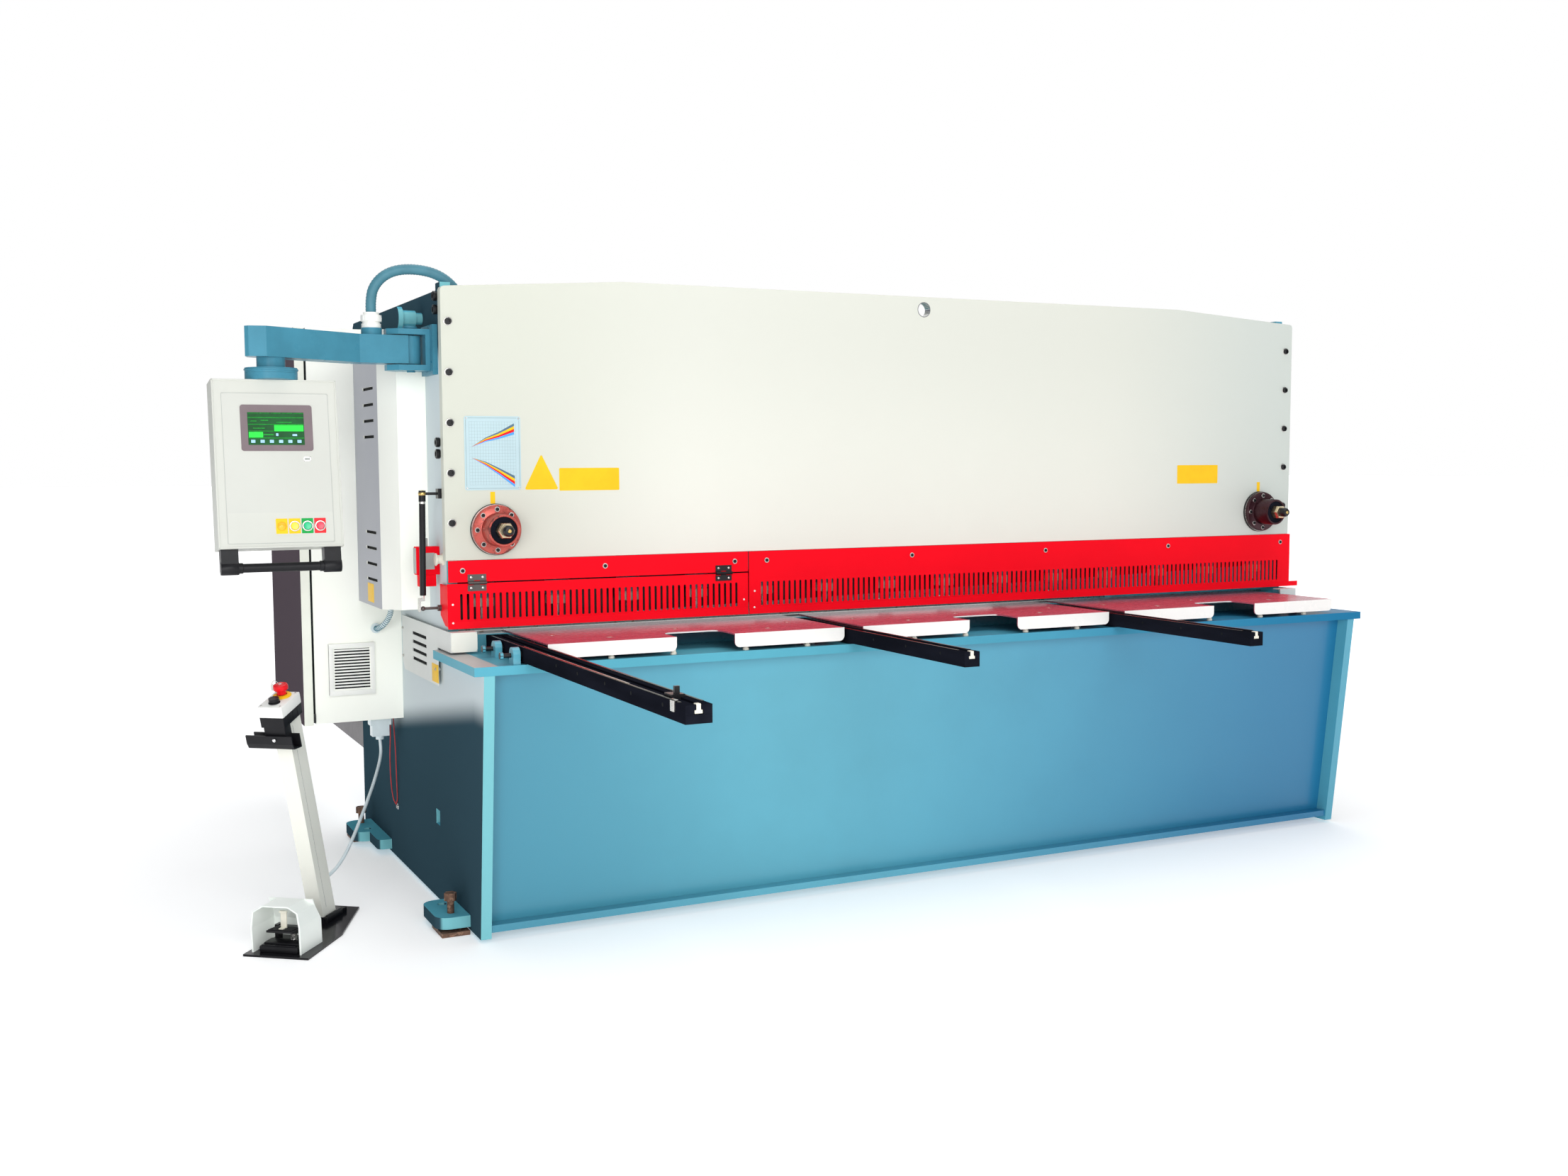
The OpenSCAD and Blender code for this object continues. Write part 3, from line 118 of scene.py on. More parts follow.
class Look:
    """A surface: a mottled colour with dust or wear, uneven gloss and a fine bump."""

    def __init__(self, name, colour, rough=0.4, metal=0.0, mottle=0.05, patch=3.0, grain=400.0,
                 bump=0.1, stretch=(1, 1, 1), coat=0.0, wear=None, wear_scale=9.0, wear_share=0.36,
                 glow=0.0, specular=0.5):
        self.material = bpy.data.materials.new(name)
        self.material.use_nodes = True
        self.tree = self.material.node_tree
        self.shader = self.tree.nodes["Principled BSDF"]
        self.shader.inputs["Metallic"].default_value = metal
        self.shader.inputs["Coat Weight"].default_value = coat
        self.shader.inputs["Specular IOR Level"].default_value = specular
        self.coords = node(self.tree, "ShaderNodeTexCoord")
        self.scaled = node(self.tree, "ShaderNodeMapping", Scale=stretch)
        self.link(self.coords.outputs["Object"], self.scaled.inputs["Vector"])
        blotches = self.noise(patch, 5.0)
        dark = tuple(c * (1 - mottle) for c in colour)
        light = tuple(min(1.0, c * (1 + mottle)) for c in colour)
        self.colour = mixed(self.tree, ramp(self.tree, blotches, 0.3, 0.7), dark, light)
        if wear:
            worn = self.noise(wear_scale, 8.0)
            self.mix_in(ramp(self.tree, worn, 1 - wear_share, 1.02 - wear_share), wear)
        gloss = node(self.tree, "ShaderNodeMapRange")
        gloss.inputs["To Min"].default_value = max(0.02, rough - 0.07)
        gloss.inputs["To Max"].default_value = min(1.0, rough + 0.09)
        self.link(self.noise(patch * 3, 4.0), gloss.inputs["Value"])
        self.link(gloss.outputs[0], self.shader.inputs["Roughness"])
        bumped = node(self.tree, "ShaderNodeBump", Strength=bump, Distance=0.0006)
        self.link(self.noise(grain, 3.0), bumped.inputs["Height"])
        self.link(bumped.outputs[0], self.shader.inputs["Normal"])
        self.link(self.colour, self.shader.inputs["Base Color"])
        if glow:
            self.link(self.colour, self.shader.inputs["Emission Color"])
            self.shader.inputs["Emission Strength"].default_value = glow

    def link(self, a, b):
        self.tree.links.new(a, b)

    def noise(self, scale, detail):
        made = node(self.tree, "ShaderNodeTexNoise", Scale=scale, Detail=detail, Roughness=0.6)
        self.link(self.scaled.outputs[0], made.inputs["Vector"])
        return made.outputs["Fac"]

    def mix_in(self, factor, colour):
        self.colour = mixed(self.tree, factor, self.colour, colour)
        self.link(self.colour, self.shader.inputs["Base Color"])

    def part(self, source, axis):
        split = node(self.tree, "ShaderNodeSeparateXYZ")
        self.link(self.coords.outputs[source], split.inputs[0])
        return split.outputs[axis]

    def rise(self, axis, low, high):
        """A mask from 0 below low to 1 above high, in metres of the row frame."""
        return ramp(self.tree, self.part("Object", axis), low, high)

    def fall(self, axis, low, high):
        return maths(self.tree, "SUBTRACT", 1.0, self.rise(axis, low, high))

    def both(self, a, b):
        return maths(self.tree, "MULTIPLY", a, b)

    def side(self, axis, sign, low=0.55, high=0.8):
        """A mask of the faces that look along an axis, or against it with sign -1."""
        facing = maths(self.tree, "MULTIPLY", self.part("Normal", axis), sign)
        return ramp(self.tree, facing, low, high)


BLUE = (0.102, 0.390, 0.500)
# Darker blues: painted shade towards the right and left ends of the apron and bed.
BLUE_SHADED_RIGHT = (0.014, 0.175, 0.345)
BLUE_SHADED_LEFT = (0.056, 0.270, 0.375)
PAINTED_SLOT_SHADE = (0.05, 0.002, 0.004)
SHADE_RAMP_RIGHT = (-0.6, 2.0)
LOOKS = {}


def look(name, *args, **values):
    LOOKS[name] = Look(name, *args, **values)
    return LOOKS[name]


look("blue_paint", BLUE, 0.32, mottle=0.07, patch=1.4, grain=330, bump=0.16, coat=0.25)
arm = look("arm_paint", (0.060, 0.240, 0.335), 0.28, mottle=0.10, patch=6, grain=170, bump=0.30,
           specular=0.10)
# The top faces are darker: painted shade against the light from above.
arm.mix_in(arm.side(2, 1), (0.040, 0.155, 0.205))
# A dark navy: painted shade over the blue beam, rail and cylinders inside the machine, and dark paint on the
# motor fins.
look("dark_paint_and_shade", (0.020, 0.050, 0.070), 0.28, mottle=0.2, grain=260, bump=0.2, coat=0.3)
panel = look("panel_paint", (0.80, 0.81, 0.73), 0.42, mottle=0.015, patch=1.2, grain=900, bump=0.10,
             specular=0.25)
# The panel is darker towards the top, and darker at its left and right ends as painted shade where the light
# falls off.
panel.mix_in(panel.rise(2, 1.0, 1.8), (0.67, 0.68, 0.61))
panel.mix_in(panel.fall(0, -1.55 + SHIFT.x, -0.75 + SHIFT.x), (0.60, 0.615, 0.535))
panel.mix_in(panel.rise(0, 0.9, 1.9), (0.58, 0.62, 0.58))
# The cream paint glows a little, which is painted light, and its faces towards -X are darker, which is
# painted shade; the glow takes the shaded colour too.
cream = look("cream_paint", (0.93, 0.94, 0.87), 0.42, mottle=0.015, patch=1.2, grain=900, bump=0.10,
             specular=0.3, glow=0.10)
cream.mix_in(cream.side(0, -1), (0.64, 0.65, 0.61))
cream.mix_in(cream.side(0, -1, 0.88, 0.96), (0.36, 0.37, 0.41))
cream.link(cream.colour, cream.shader.inputs["Emission Color"])
look("warm_white", (0.86, 0.86, 0.78), 0.38, mottle=0.02, grain=700, bump=0.08)
look("box_paint", (0.57, 0.58, 0.53), 0.40, mottle=0.02, grain=700, bump=0.08, specular=0.3)
# The red base and the pink specular tint are a painted reflection of the red guard in the polished steel
# tops; the white front faces are the painted lips.
covers = look("cover_steel", (0.46, 0.11, 0.16), 0.26, specular=0.5, mottle=0.10, patch=5, grain=420,
              bump=0.05, stretch=(1, 6, 1))
covers.shader.inputs["Specular Tint"].default_value = (1.0, 0.55, 0.62, 1)
covers.mix_in(covers.side(1, -1), (0.86, 0.85, 0.82))
# Front faces behind the notch get a dark blue: painted shade inside the notch.
notch_shade_mask = covers.rise(1, 0.15 + SHIFT.y, 0.17 + SHIFT.y)
covers.mix_in(covers.both(covers.side(1, -1), notch_shade_mask), (0.025, 0.14, 0.20))
look("end_paint", (0.70, 0.72, 0.70), 0.42, mottle=0.03, grain=900, bump=0.12)
# A dark brown-grey that stands for the cream rear guards in painted shade.
look("brown_paint", (0.075, 0.062, 0.070), 0.40, mottle=0.10, patch=5, grain=900, bump=0.15)
guard = look("red_paint", (0.96, 0.004, 0.016), 0.36, mottle=0.03, grain=800, bump=0.06, specular=0.04)
# The slot walls and the back faces are darkened: painted shade in the slots.
slotted = maths(guard.tree, "SUBTRACT", guard.rise(0, -1.575 + SHIFT.x, -1.57 + SHIFT.x),
                guard.rise(0, 1.57 + SHIFT.x, 1.575 + SHIFT.x))
walls = maths(guard.tree, "ADD", guard.side(0, 1), guard.side(0, -1))
guard.mix_in(guard.both(slotted, walls), PAINTED_SLOT_SHADE)
guard.mix_in(guard.side(1, 1), PAINTED_SLOT_SHADE)
look("black_steel", (0.010, 0.011, 0.017), 0.34, mottle=0.25, patch=7, grain=350, bump=0.12,
     stretch=(2, 0.3, 2), specular=0.0)
look("ground_steel", (0.50, 0.48, 0.46), 0.28, metal=0.9, mottle=0.12, patch=5, grain=500, bump=0.10,
     stretch=(6, 0.4, 6), wear=(0.36, 0.27, 0.22), wear_share=0.40)
look("dark_steel", (0.075, 0.072, 0.070), 0.35, metal=0.6, mottle=0.15, patch=6, bump=0.1)
look("zinc", (0.62, 0.61, 0.58), 0.27, metal=0.9, mottle=0.1, patch=30, grain=700, bump=0.06)
look("chrome", (0.78, 0.78, 0.78), 0.12, metal=1.0, mottle=0.04, patch=40, bump=0.02)
look("brass", (0.62, 0.44, 0.16), 0.30, metal=0.9, mottle=0.12, patch=60, bump=0.08)
look("black_screw", (0.012, 0.012, 0.014), 0.33, metal=0.3, mottle=0.2, patch=80, bump=0.10)
shafts = look("anodised", (0.46, 0.085, 0.066), 0.28, metal=0.5, mottle=0.18, patch=25, grain=900, bump=0.10,
              stretch=(1, 8, 1), wear=(0.16, 0.045, 0.040), wear_scale=40, wear_share=0.42)
shafts.mix_in(shafts.rise(0, 0.9, 1.1), (0.045, 0.012, 0.018))
look("shaft_nut", (0.66, 0.55, 0.36), 0.24, metal=0.9, mottle=0.15, patch=60, bump=0.08)
look("rusty", (0.16, 0.085, 0.055), 0.62, metal=0.35, mottle=0.45, patch=30, grain=420, bump=0.5,
     wear=(0.30, 0.17, 0.11), wear_scale=70, wear_share=0.45)
look("black_plastic", (0.009, 0.009, 0.011), 0.40, mottle=0.15, patch=20, grain=900, bump=0.12, specular=0.25)
look("gloss_black", (0.010, 0.010, 0.012), 0.16, mottle=0.2, patch=8, grain=300, bump=0.05, specular=0.2)
look("white_plastic", (0.88, 0.88, 0.84), 0.34, mottle=0.02, patch=20, grain=900, bump=0.06)
look("bone_plastic", (0.80, 0.77, 0.66), 0.40, mottle=0.05, patch=30, grain=900, bump=0.08)
# The hood's glow is painted light; the hood is no lamp.
look("hood_paint", (0.82, 0.86, 0.82), 0.34, mottle=0.03, patch=6, grain=600, bump=0.08, glow=0.14)
look("yellow", (0.92, 0.55, 0.015), 0.36, mottle=0.04, patch=20, grain=900, bump=0.04, specular=0.15)
look("orange_lamp", (1.0, 0.42, 0.02), 0.22, mottle=0.05, patch=60, bump=0.02, glow=0.2)
look("yellow_lamp", (1.0, 0.66, 0.05), 0.20, mottle=0.05, patch=60, bump=0.02, glow=0.15)
look("green", (0.01, 0.36, 0.07), 0.34, mottle=0.05, patch=30, bump=0.04, specular=0.15)
look("green_lamp", (0.02, 0.50, 0.22), 0.20, mottle=0.05, patch=60, bump=0.02, glow=0.1)
look("red_plastic", (0.78, 0.008, 0.016), 0.24, mottle=0.05, patch=40, bump=0.03, specular=0.2)
look("red_lamp", (0.85, 0.05, 0.09), 0.20, mottle=0.05, patch=60, bump=0.02, glow=0.1)
look("conduit", (0.070, 0.215, 0.275), 0.46, mottle=0.08, patch=20, grain=500, bump=0.10, specular=0.3)
look("cable_grey", (0.72, 0.81, 0.84), 0.38, mottle=0.05, patch=15, grain=700, bump=0.08)
look("wire_red", (0.50, 0.03, 0.03), 0.42, mottle=0.12, patch=40, bump=0.08)
look("chart", (0.47, 0.62, 0.66), 0.30, mottle=0.02, patch=12, grain=900, bump=0.03)
look("chart_line", (0.24, 0.36, 0.38), 0.34, mottle=0.05, patch=30, bump=0.03)
look("sky", (0.06, 0.33, 0.85), 0.34, mottle=0.04, patch=30, bump=0.03)
look("slate", (0.07, 0.15, 0.22), 0.34, mottle=0.05, patch=30, bump=0.03)
look("bezel", (0.15, 0.105, 0.118), 0.38, mottle=0.06, patch=20, grain=900, bump=0.06)
look("screen_dark", (0.004, 0.062, 0.014), 0.16, mottle=0.2, patch=40, bump=0.02, glow=0.5, specular=0.1)
look("screen_green", (0.02, 0.66, 0.05), 0.16, mottle=0.08, patch=30, bump=0.02, glow=0.5, specular=0.1)
look("screen_blue", (0.30, 0.52, 0.72), 0.16, mottle=0.1, patch=60, bump=0.02, glow=0.3, specular=0.1)
look("face_grey", (0.54, 0.55, 0.505), 0.40, mottle=0.02, grain=900, bump=0.06)
look("seam_grey", (0.40, 0.42, 0.40), 0.50, mottle=0.06, patch=12, bump=0.05)
# A near-black for holes, gaps and backings: painted shade.
look("gap_shade", (0.006, 0.007, 0.008), 0.75, mottle=0.2, patch=12, bump=0.1, specular=0.15)

# The side plates' outer faces carry painted shade low down and a painted reflection beside the panel.
# The reflection's lower edge falls by FALL metres for each metre towards the back, as a reflected horizon
# does.
FALL = 0.165
for side_name, sign, front_highlight in (("left", -1, (0.20, 0.52, 0.57)), ("right", 1, (0.14, 0.40, 0.52))):
    plate = look(side_name + "_plate", BLUE, 0.36, mottle=0.07, patch=1.4, grain=210, bump=0.3, specular=0.0)
    outer = plate.side(0, sign)
    # A lighter blue on the front faces is a painted highlight, and the dark outer faces are painted shade.
    plate.mix_in(plate.side(1, -1), front_highlight)
    plate.mix_in(outer, (0.036, 0.075, 0.100))
    depth = maths(plate.tree, "ADD", plate.part("Object", 1), 0.45)
    level_up = maths(plate.tree, "ADD", plate.part("Object", 2), plate.both(depth, FALL))
    painted_reflection = plate.both(ramp(plate.tree, level_up, 0.60, 0.69), plate.fall(2, 1.60, 1.66))
    plate.mix_in(plate.both(outer, painted_reflection), (0.64, 0.71, 0.73))

# The apron darkens towards both ends and the bed towards the right: painted shade where the light falls off.
apron = look("apron_paint", BLUE, 0.34, mottle=0.07, patch=1.4, grain=330, bump=0.16, coat=0.15)
apron.mix_in(apron.rise(0, *SHADE_RAMP_RIGHT), BLUE_SHADED_RIGHT)
apron.mix_in(apron.fall(0, -1.55 + SHIFT.x, -0.55 + SHIFT.x), BLUE_SHADED_LEFT)

bed = look("bed_paint", BLUE, 0.32, mottle=0.07, patch=1.4, grain=330, bump=0.16, specular=0.05)
bed.mix_in(bed.rise(0, *SHADE_RAMP_RIGHT), BLUE_SHADED_RIGHT)
bare_corner = bed.both(bed.side(2, 1), bed.fall(0, -1.544 + SHIFT.x, -1.538 + SHIFT.x))
bed.mix_in(bare_corner, (0.56, 0.54, 0.52))
door = look("door_paint", (0.89, 0.905, 0.81), 0.42, mottle=0.04, patch=4, grain=900, bump=0.12, specular=0.0)
# The door's face towards -X is dark brown-grey: painted shade.
door.mix_in(door.side(0, -1), (0.100, 0.080, 0.094))
hinge = look("hinge_zinc", (0.10, 0.09, 0.085), 0.30, metal=0.5, mottle=0.1, patch=30, grain=700, bump=0.06)
hinge.mix_in(hinge.rise(0, -1.2 + SHIFT.x, -1.1 + SHIFT.x), (0.015, 0.015, 0.018))

NODE_LOOKS = {
    "blue_paint": "blade_holder arm_adjusters rear_beam oil_tank",
    "apron_paint": "front_apron",
    "bed_paint": "table_bed",
    "left_plate": "left_side_plate",
    "right_plate": "right_side_plate",
    "arm_paint": "arm_bracket panel_arm panel_coupling",
    "dark_paint_and_shade": "drive_cylinders blade_beam hold_down_rail",
    "panel_paint": "front_panel",
    "cream_paint": "side_cover cabinet",
    "warm_white": "foot_column",
    "box_paint": "control_box",
    "door_paint": "cabinet_door",
    "cover_steel": "table_covers",
    "end_paint": "end_covers sheet_chute",
    "brown_paint": "rear_guards",
    "red_paint": "fixed_guard guard_flap",
    "black_steel": "squaring_arm support_arms",
    "ground_steel": "lower_blade hold_down_feet back_gauge",
    "dark_steel": "upper_blade",
    "zinc": "strut_rod",
    "hinge_zinc": "flap_hinges flap_fittings",
    "black_screw": "strut_stud arm_stop",
    "gloss_black": "strut_cylinder foot_base",
    "black_plastic": "box_handle foot_handle start_button foot_pedal",
    "white_plastic": "stop_box conduit_gland",
    "cable_grey": "cabinet_fittings",
    "yellow_lamp": "yellow_button",
    "green_lamp": "green_button",
    "red_lamp": "red_button",
    "hood_paint": "pedal_hood",
    "red_plastic": "stop_button",
    "rusty": "jack_bolts",
    "anodised": "shaft_flanges",
}
for look_name, names in NODE_LOOKS.items():
    for name in names.split():
        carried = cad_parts[name]
        carried.data.materials.clear()
        carried.data.materials.append(LOOKS[look_name].material)

# Mesh building


class Piece:
    """One object made of several forms, drawn in machine millimetres inside a local frame."""

    def __init__(self, name, look_name, body="machine", place=None):
        self.name, self.look, self.body = name, look_name, body
        self.place = place or Matrix.Identity(4)
        self.bm = bmesh.new()

    def box(self, x0, x1, y0, y1, z0, z1, bevel=0.0, place=None):
        size = Matrix.Diagonal((x1 - x0, y1 - y0, z1 - z0, 1))
        middle = Matrix.Translation(((x0 + x1) / 2, (y0 + y1) / 2, (z0 + z1) / 2))
        made = bmesh.ops.create_cube(self.bm, size=1, matrix=middle @ size)["verts"]
        if bevel:
            edges = list({e for v in made for e in v.link_edges})
            made = bmesh.ops.bevel(self.bm, geom=edges, offset=bevel, segments=2,
                                   affect="EDGES", profile=0.6)["verts"]
            made = list({v for face in {f for v in made for f in v.link_faces} for v in face.verts})
        if place:
            bmesh.ops.transform(self.bm, matrix=place, verts=made)
        return self

    def turned(self, profile, origin, axis, sides=32, start=0.0):
        """A turned form: (radius, distance along the axis) pairs, closed at both ends."""
        axis = Vector(axis).normalized()
        first = (Z if abs(axis.z) < 0.9 else X).cross(axis).normalized()
        second = axis.cross(first)
        rings = []
        for radius, along in profile:
            ring = []
            for k in range(sides):
                angle = 2 * math.pi * k / sides + start
                out = (first * math.cos(angle) + second * math.sin(angle)) * radius
                ring.append(self.bm.verts.new(Vector(origin) + axis * along + out))
            rings.append(ring)
        return self.close(rings)

    def rod(self, origin, axis, radius, length, edge=0.8, sides=24):
        return self.turned([(radius - edge, 0), (radius, edge), (radius, length - edge),
                            (radius - edge, length)], origin, axis, sides)

    def plate(self, outline, y0, y1):
        """A flat form: (x, z) points given a thickness from y0 to y1."""
        back = [self.bm.verts.new((x, y1, z)) for x, z in outline]
        front = [self.bm.verts.new((x, y0, z)) for x, z in outline]
        count = len(outline)
        self.bm.faces.new(front)
        self.bm.faces.new(back[::-1])
        for k in range(count):
            self.bm.faces.new((front[k], back[k], back[(k + 1) % count], front[(k + 1) % count]))
        return self

    def tube(self, points, radius, sides=12):
        return self.skin(sweep(points, lambda i: radius, sides))

    def skin(self, rings):
        return self.close([[self.bm.verts.new(p) for p in ring] for ring in rings])

    def close(self, rings):
        """Faces between neighbouring rings of vertices, and a cap on each end."""
        sides = len(rings[0])
        for low, high in zip(rings, rings[1:]):
            for k in range(sides):
                self.bm.faces.new((low[k], low[(k + 1) % sides], high[(k + 1) % sides], high[k]))
        self.bm.faces.new(rings[0][::-1])
        self.bm.faces.new(rings[-1])
        return self

    def open_ends(self, sides):
        """Takes the caps off turned forms that have this many sides."""
        for face in [f for f in self.bm.faces if len(f.verts) == sides]:
            self.bm.faces.remove(face)
        return self

    def done(self, *replaced, angle=38, bend=None):
        bmesh.ops.recalc_face_normals(self.bm, faces=self.bm.faces)
        bmesh.ops.transform(self.bm, matrix=self.place, verts=self.bm.verts)
        for v in self.bm.verts:
            v.co = at(*v.co)
        mesh = bpy.data.meshes.new(self.name)
        self.bm.to_mesh(mesh)
        self.bm.free()
        mesh.shade_smooth()
        mesh.set_sharp_from_angle(angle=math.radians(angle))
        made = bpy.data.objects.new(self.name, mesh)
        bpy.context.scene.collection.objects.link(made)
        made.data.materials.append(LOOKS[self.look].material)
        if bend:
            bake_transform(made)
        else:
            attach(made, self.body)
        if replaced:
            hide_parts(*replaced)
        return made


def sweep(points, radius_at, sides):
    """Rings of points around a route, carried along it so that they don't twist."""
    points = [Vector(p) for p in points]
    last = len(points) - 1
    rings, across = [], None
    for i, p in enumerate(points):
        ahead = (points[min(i + 1, last)] - points[max(i - 1, 0)]).normalized()
        if across is None:
            across = (X if abs(ahead.z) > 0.9 else Z).cross(ahead).normalized()
        across = (across - ahead * across.dot(ahead)).normalized()
        other = ahead.cross(across)
        turns = [2 * math.pi * k / sides for k in range(sides)]
        rings.append([p + (across * math.cos(t) + other * math.sin(t)) * radius_at(i) for t in turns])
    return rings


def smooth_route(points, step):
    """A smooth curve through the points, cut every step millimetres."""
    points = [Vector(p) for p in points]
    padded = [points[0] * 2 - points[1], *points, points[-1] * 2 - points[-2]]
    fine = []
    for a, b, c, d in zip(padded, padded[1:], padded[2:], padded[3:]):
        parts = max(2, int((c - b).length / step))
        for k in range(parts):
            t = k / parts
            fine.append(0.5 * (2 * b + (c - a) * t + (2 * a - 5 * b + 4 * c - d) * t * t
                               + (3 * b - a - 3 * c + d) * t ** 3))
    return fine + [points[-1]]


def rounded(x0, x1, z0, z1, radius, steps=5):
    corners = ((x1 - radius, z0 + radius, -90), (x1 - radius, z1 - radius, 0),
               (x0 + radius, z1 - radius, 90), (x0 + radius, z0 + radius, 180))
    outline = []
    for cx, cz, start in corners:
        for k in range(steps + 1):
            angle = math.radians(start + 90 * k / steps)
            outline.append((cx + radius * math.cos(angle), cz + radius * math.sin(angle)))
    return outline


# Camera

YAW, PITCH, ROLL = 0.4613, 0.0813, -0.0041
EYE = (-2697.98, -4042, 1321)
SENSOR = 36
LENS = SENSOR * 2200 / 2212
ahead = Vector((math.sin(YAW) * math.cos(PITCH), math.cos(YAW) * math.cos(PITCH), -math.sin(PITCH)))
level = Vector((math.cos(YAW), -math.sin(YAW), 0))
upward = level.cross(ahead)
right = level * math.cos(ROLL) + upward * math.sin(ROLL)
up = upward * math.cos(ROLL) - level * math.sin(ROLL)
camera_data = bpy.data.cameras.new("camera")
camera_data.lens = LENS
camera_data.sensor_width = SENSOR
camera_data.clip_end = 400
camera = bpy.data.objects.new("camera", camera_data)
bpy.context.scene.collection.objects.link(camera)
camera.matrix_world = Matrix.Translation(at(*EYE)) @ Matrix((right, up, -ahead)).transposed().to_4x4()
bpy.context.scene.camera = camera

# Cords

CORD_SIDES = 16


def cord(name, look_name, points, radius, step, replaced, far_end, stiffness, ridge=0.0, bend=None, **facts):
    """A cord along a smooth route. With ridge, every second ring is thinner by it."""
    route = smooth_route(points, step)

    def radius_at(i):
        return radius - (ridge if i % 2 and 0 < i < len(route) - 1 else 0)

    shown = Piece(name, look_name).skin(sweep(route, radius_at, CORD_SIDES)).done(
        replaced, angle=60, bend=bend)


def route_from(start, offsets):
    return [tuple(a + b for a, b in zip(start, offset)) for offset in offsets]


CONDUIT = route_from((-1750, 500, 1747), [
    (0, 0, 0), (0, 0, 20), (1, -3, 40), (5, -7, 62), (17, -10, 84), (35, -13, 102),
    (58, -16, 115), (84, -20, 122), (112, -24, 124), (141, -28, 122), (169, -32, 116),
    (194, -36, 105), (215, -39, 90), (231, -41, 72), (238, -42, 52), (238, -42, 31)])
PEDAL_CABLE = route_from((-1645, 1030, 426), [
    (0, 0, 0), (1, -2, -18), (0, -10, -36), (-6, -28, -54), (-16, -54, -70),
    (-30, -88, -88), (-46, -126, -106), (-64, -166, -126), (-84, -208, -147),
    (-104, -250, -168), (-125, -292, -189), (-146, -334, -210), (-168, -376, -231),
    (-190, -416, -251), (-213, -452, -270), (-238, -484, -286), (-262, -508, -297),
    (-280, -524, -302)])
WIRE_A = route_from((-1602, 1067, 500), [
    (0, 0, 0), (0, 0, -20), (-1, 2, -75), (-3, 5, -140), (-2, 8, -205),
    (2, 10, -258), (8, 12, -290), (16, 13, -306)])
WIRE_B = route_from((-1602, 1067, 500), [
    (10, 0, 0), (10, 0, -20), (12, -2, -75), (14, -3, -140), (15, -2, -205),
    (17, 2, -258), (18, 8, -288), (16, 13, -302)])
# The hose runs from its gland on the arm to the side plate; it is baked in place and not attached to the arm.
cord("arm_conduit_hose", "conduit", CONDUIT, 15, 4, "arm_conduit", "object", "stiff", ridge=0.9,
     bend=("machine", "swing_arm", at(-1570, 500, 1747), at(-1710, 500, 1747)))
cord("pedal_lead", "cable_grey", PEDAL_CABLE, 5, 8, "pedal_cable", "object", "medium")
cord("earth_wire_a", "wire_red", WIRE_A, 1.75, 6, "earth_wires", "object", "medium")
cord("earth_wire_b", "wire_red", WIRE_B, 1.75, 6, "earth_wires", "object", "medium")

# Screws


def socket_screws(name, places, axis, radius, ring=0.0, body="machine", place=None,
                  head="black_screw", ring_look="chrome", lift=0.0):
    """Cap screws with a hexagon socket, each in a washer ring where ring is given."""
    axis = Vector(axis)
    heads = Piece(name, head, body, place)
    rings = Piece(name + "_washers", ring_look, body, place)
    for spot in places:
        base = Vector(spot) + axis * lift
        tall = radius * 0.9
        heads.turned([(radius * 0.9, 0.2), (radius, radius * 0.15), (radius, tall - radius * 0.14),
                      (radius * 0.86, tall), (radius * 0.56, tall), (radius * 0.54, tall * 0.45)],
                     base, axis, 24)
        if ring:
            rings.turned([(ring, 0), (ring, 1.4), (ring * 0.93, 2.0), (radius * 1.12, 2.0),
                          (radius * 1.08, 0.8)], base, axis, 28)
    heads.done()
    if ring:
        rings.done()
    else:
        rings.bm.free()


PANEL_BOLT_Z = [1716.5 - 142 * i for i in range(5)]
socket_screws("panel_screws", [(x, PANEL_Y, z) for x in (-1570, 1558.5) for z in PANEL_BOLT_Z],
              -Y, 9.5, ring=12.5, ring_look="zinc")
GUARD_SCREW_X = [-1543, -1113, -689, -579, -50, 483, 1018, 1550]
socket_screws("guard_screws", [(x, GUARD_Y, 1012) for x in GUARD_SCREW_X], -Y, 5.0, ring=8.0,
              ring_look="zinc")
socket_screws("side_bolts", [(-HALF_W, y, z) for y, z in
              ((392, 1790), (392, 1752), (392, 1378), (392, 1345))], -X, 14, lift=8)
socket_screws("end_cover_screws", [(-HALF_W - 12, 893, 800), (-HALF_W - 12, 893, 712),
              (-HALF_W - 12, 475, 717)], -X, 4.5, head="zinc")
socket_screws("earth_bolt", [(-HALF_W, 1080, 187)], -X, 6.5, ring=10, head="zinc")

# Panel plates: a chart of strength curves and plain yellow patches


def flat_piece(name, look_name, outlines, lift, thick=0.5, y=PANEL_Y, **facts):
    made = Piece(name, look_name, **facts)
    for outline in outlines:
        made.plate(outline, y - lift - thick, y - lift)
    return made.done()


CHART = (-1530, -1365, 1241, 1452)
flat_piece("chart_plate", "chart", [rounded(*CHART, 7)], 0.0, 1.2)
flat_piece("chart_border", "chart_line", [
    rounded(-1526, -1524.8, 1252, 1441, 0.3, 1), rounded(-1370.2, -1369, 1252, 1441, 0.3, 1),
    rounded(-1519, -1376, 1245.5, 1246.7, 0.3, 1), rounded(-1519, -1376, 1446.3, 1447.5, 0.3, 1)], 1.2, 0.2)
flat_piece("chart_grid", "chart_line", [
    *[rounded(-1516 + 8 * i, -1515.6 + 8 * i, 1256, 1436, 0.1, 1) for i in range(18)],
    *[rounded(-1516, -1380, 1256 + 9 * i, 1256.4 + 9 * i, 0.1, 1) for i in range(21)]], 1.2, 0.12)
BANDS = ("slate", "yellow", "red_plastic", "sky")
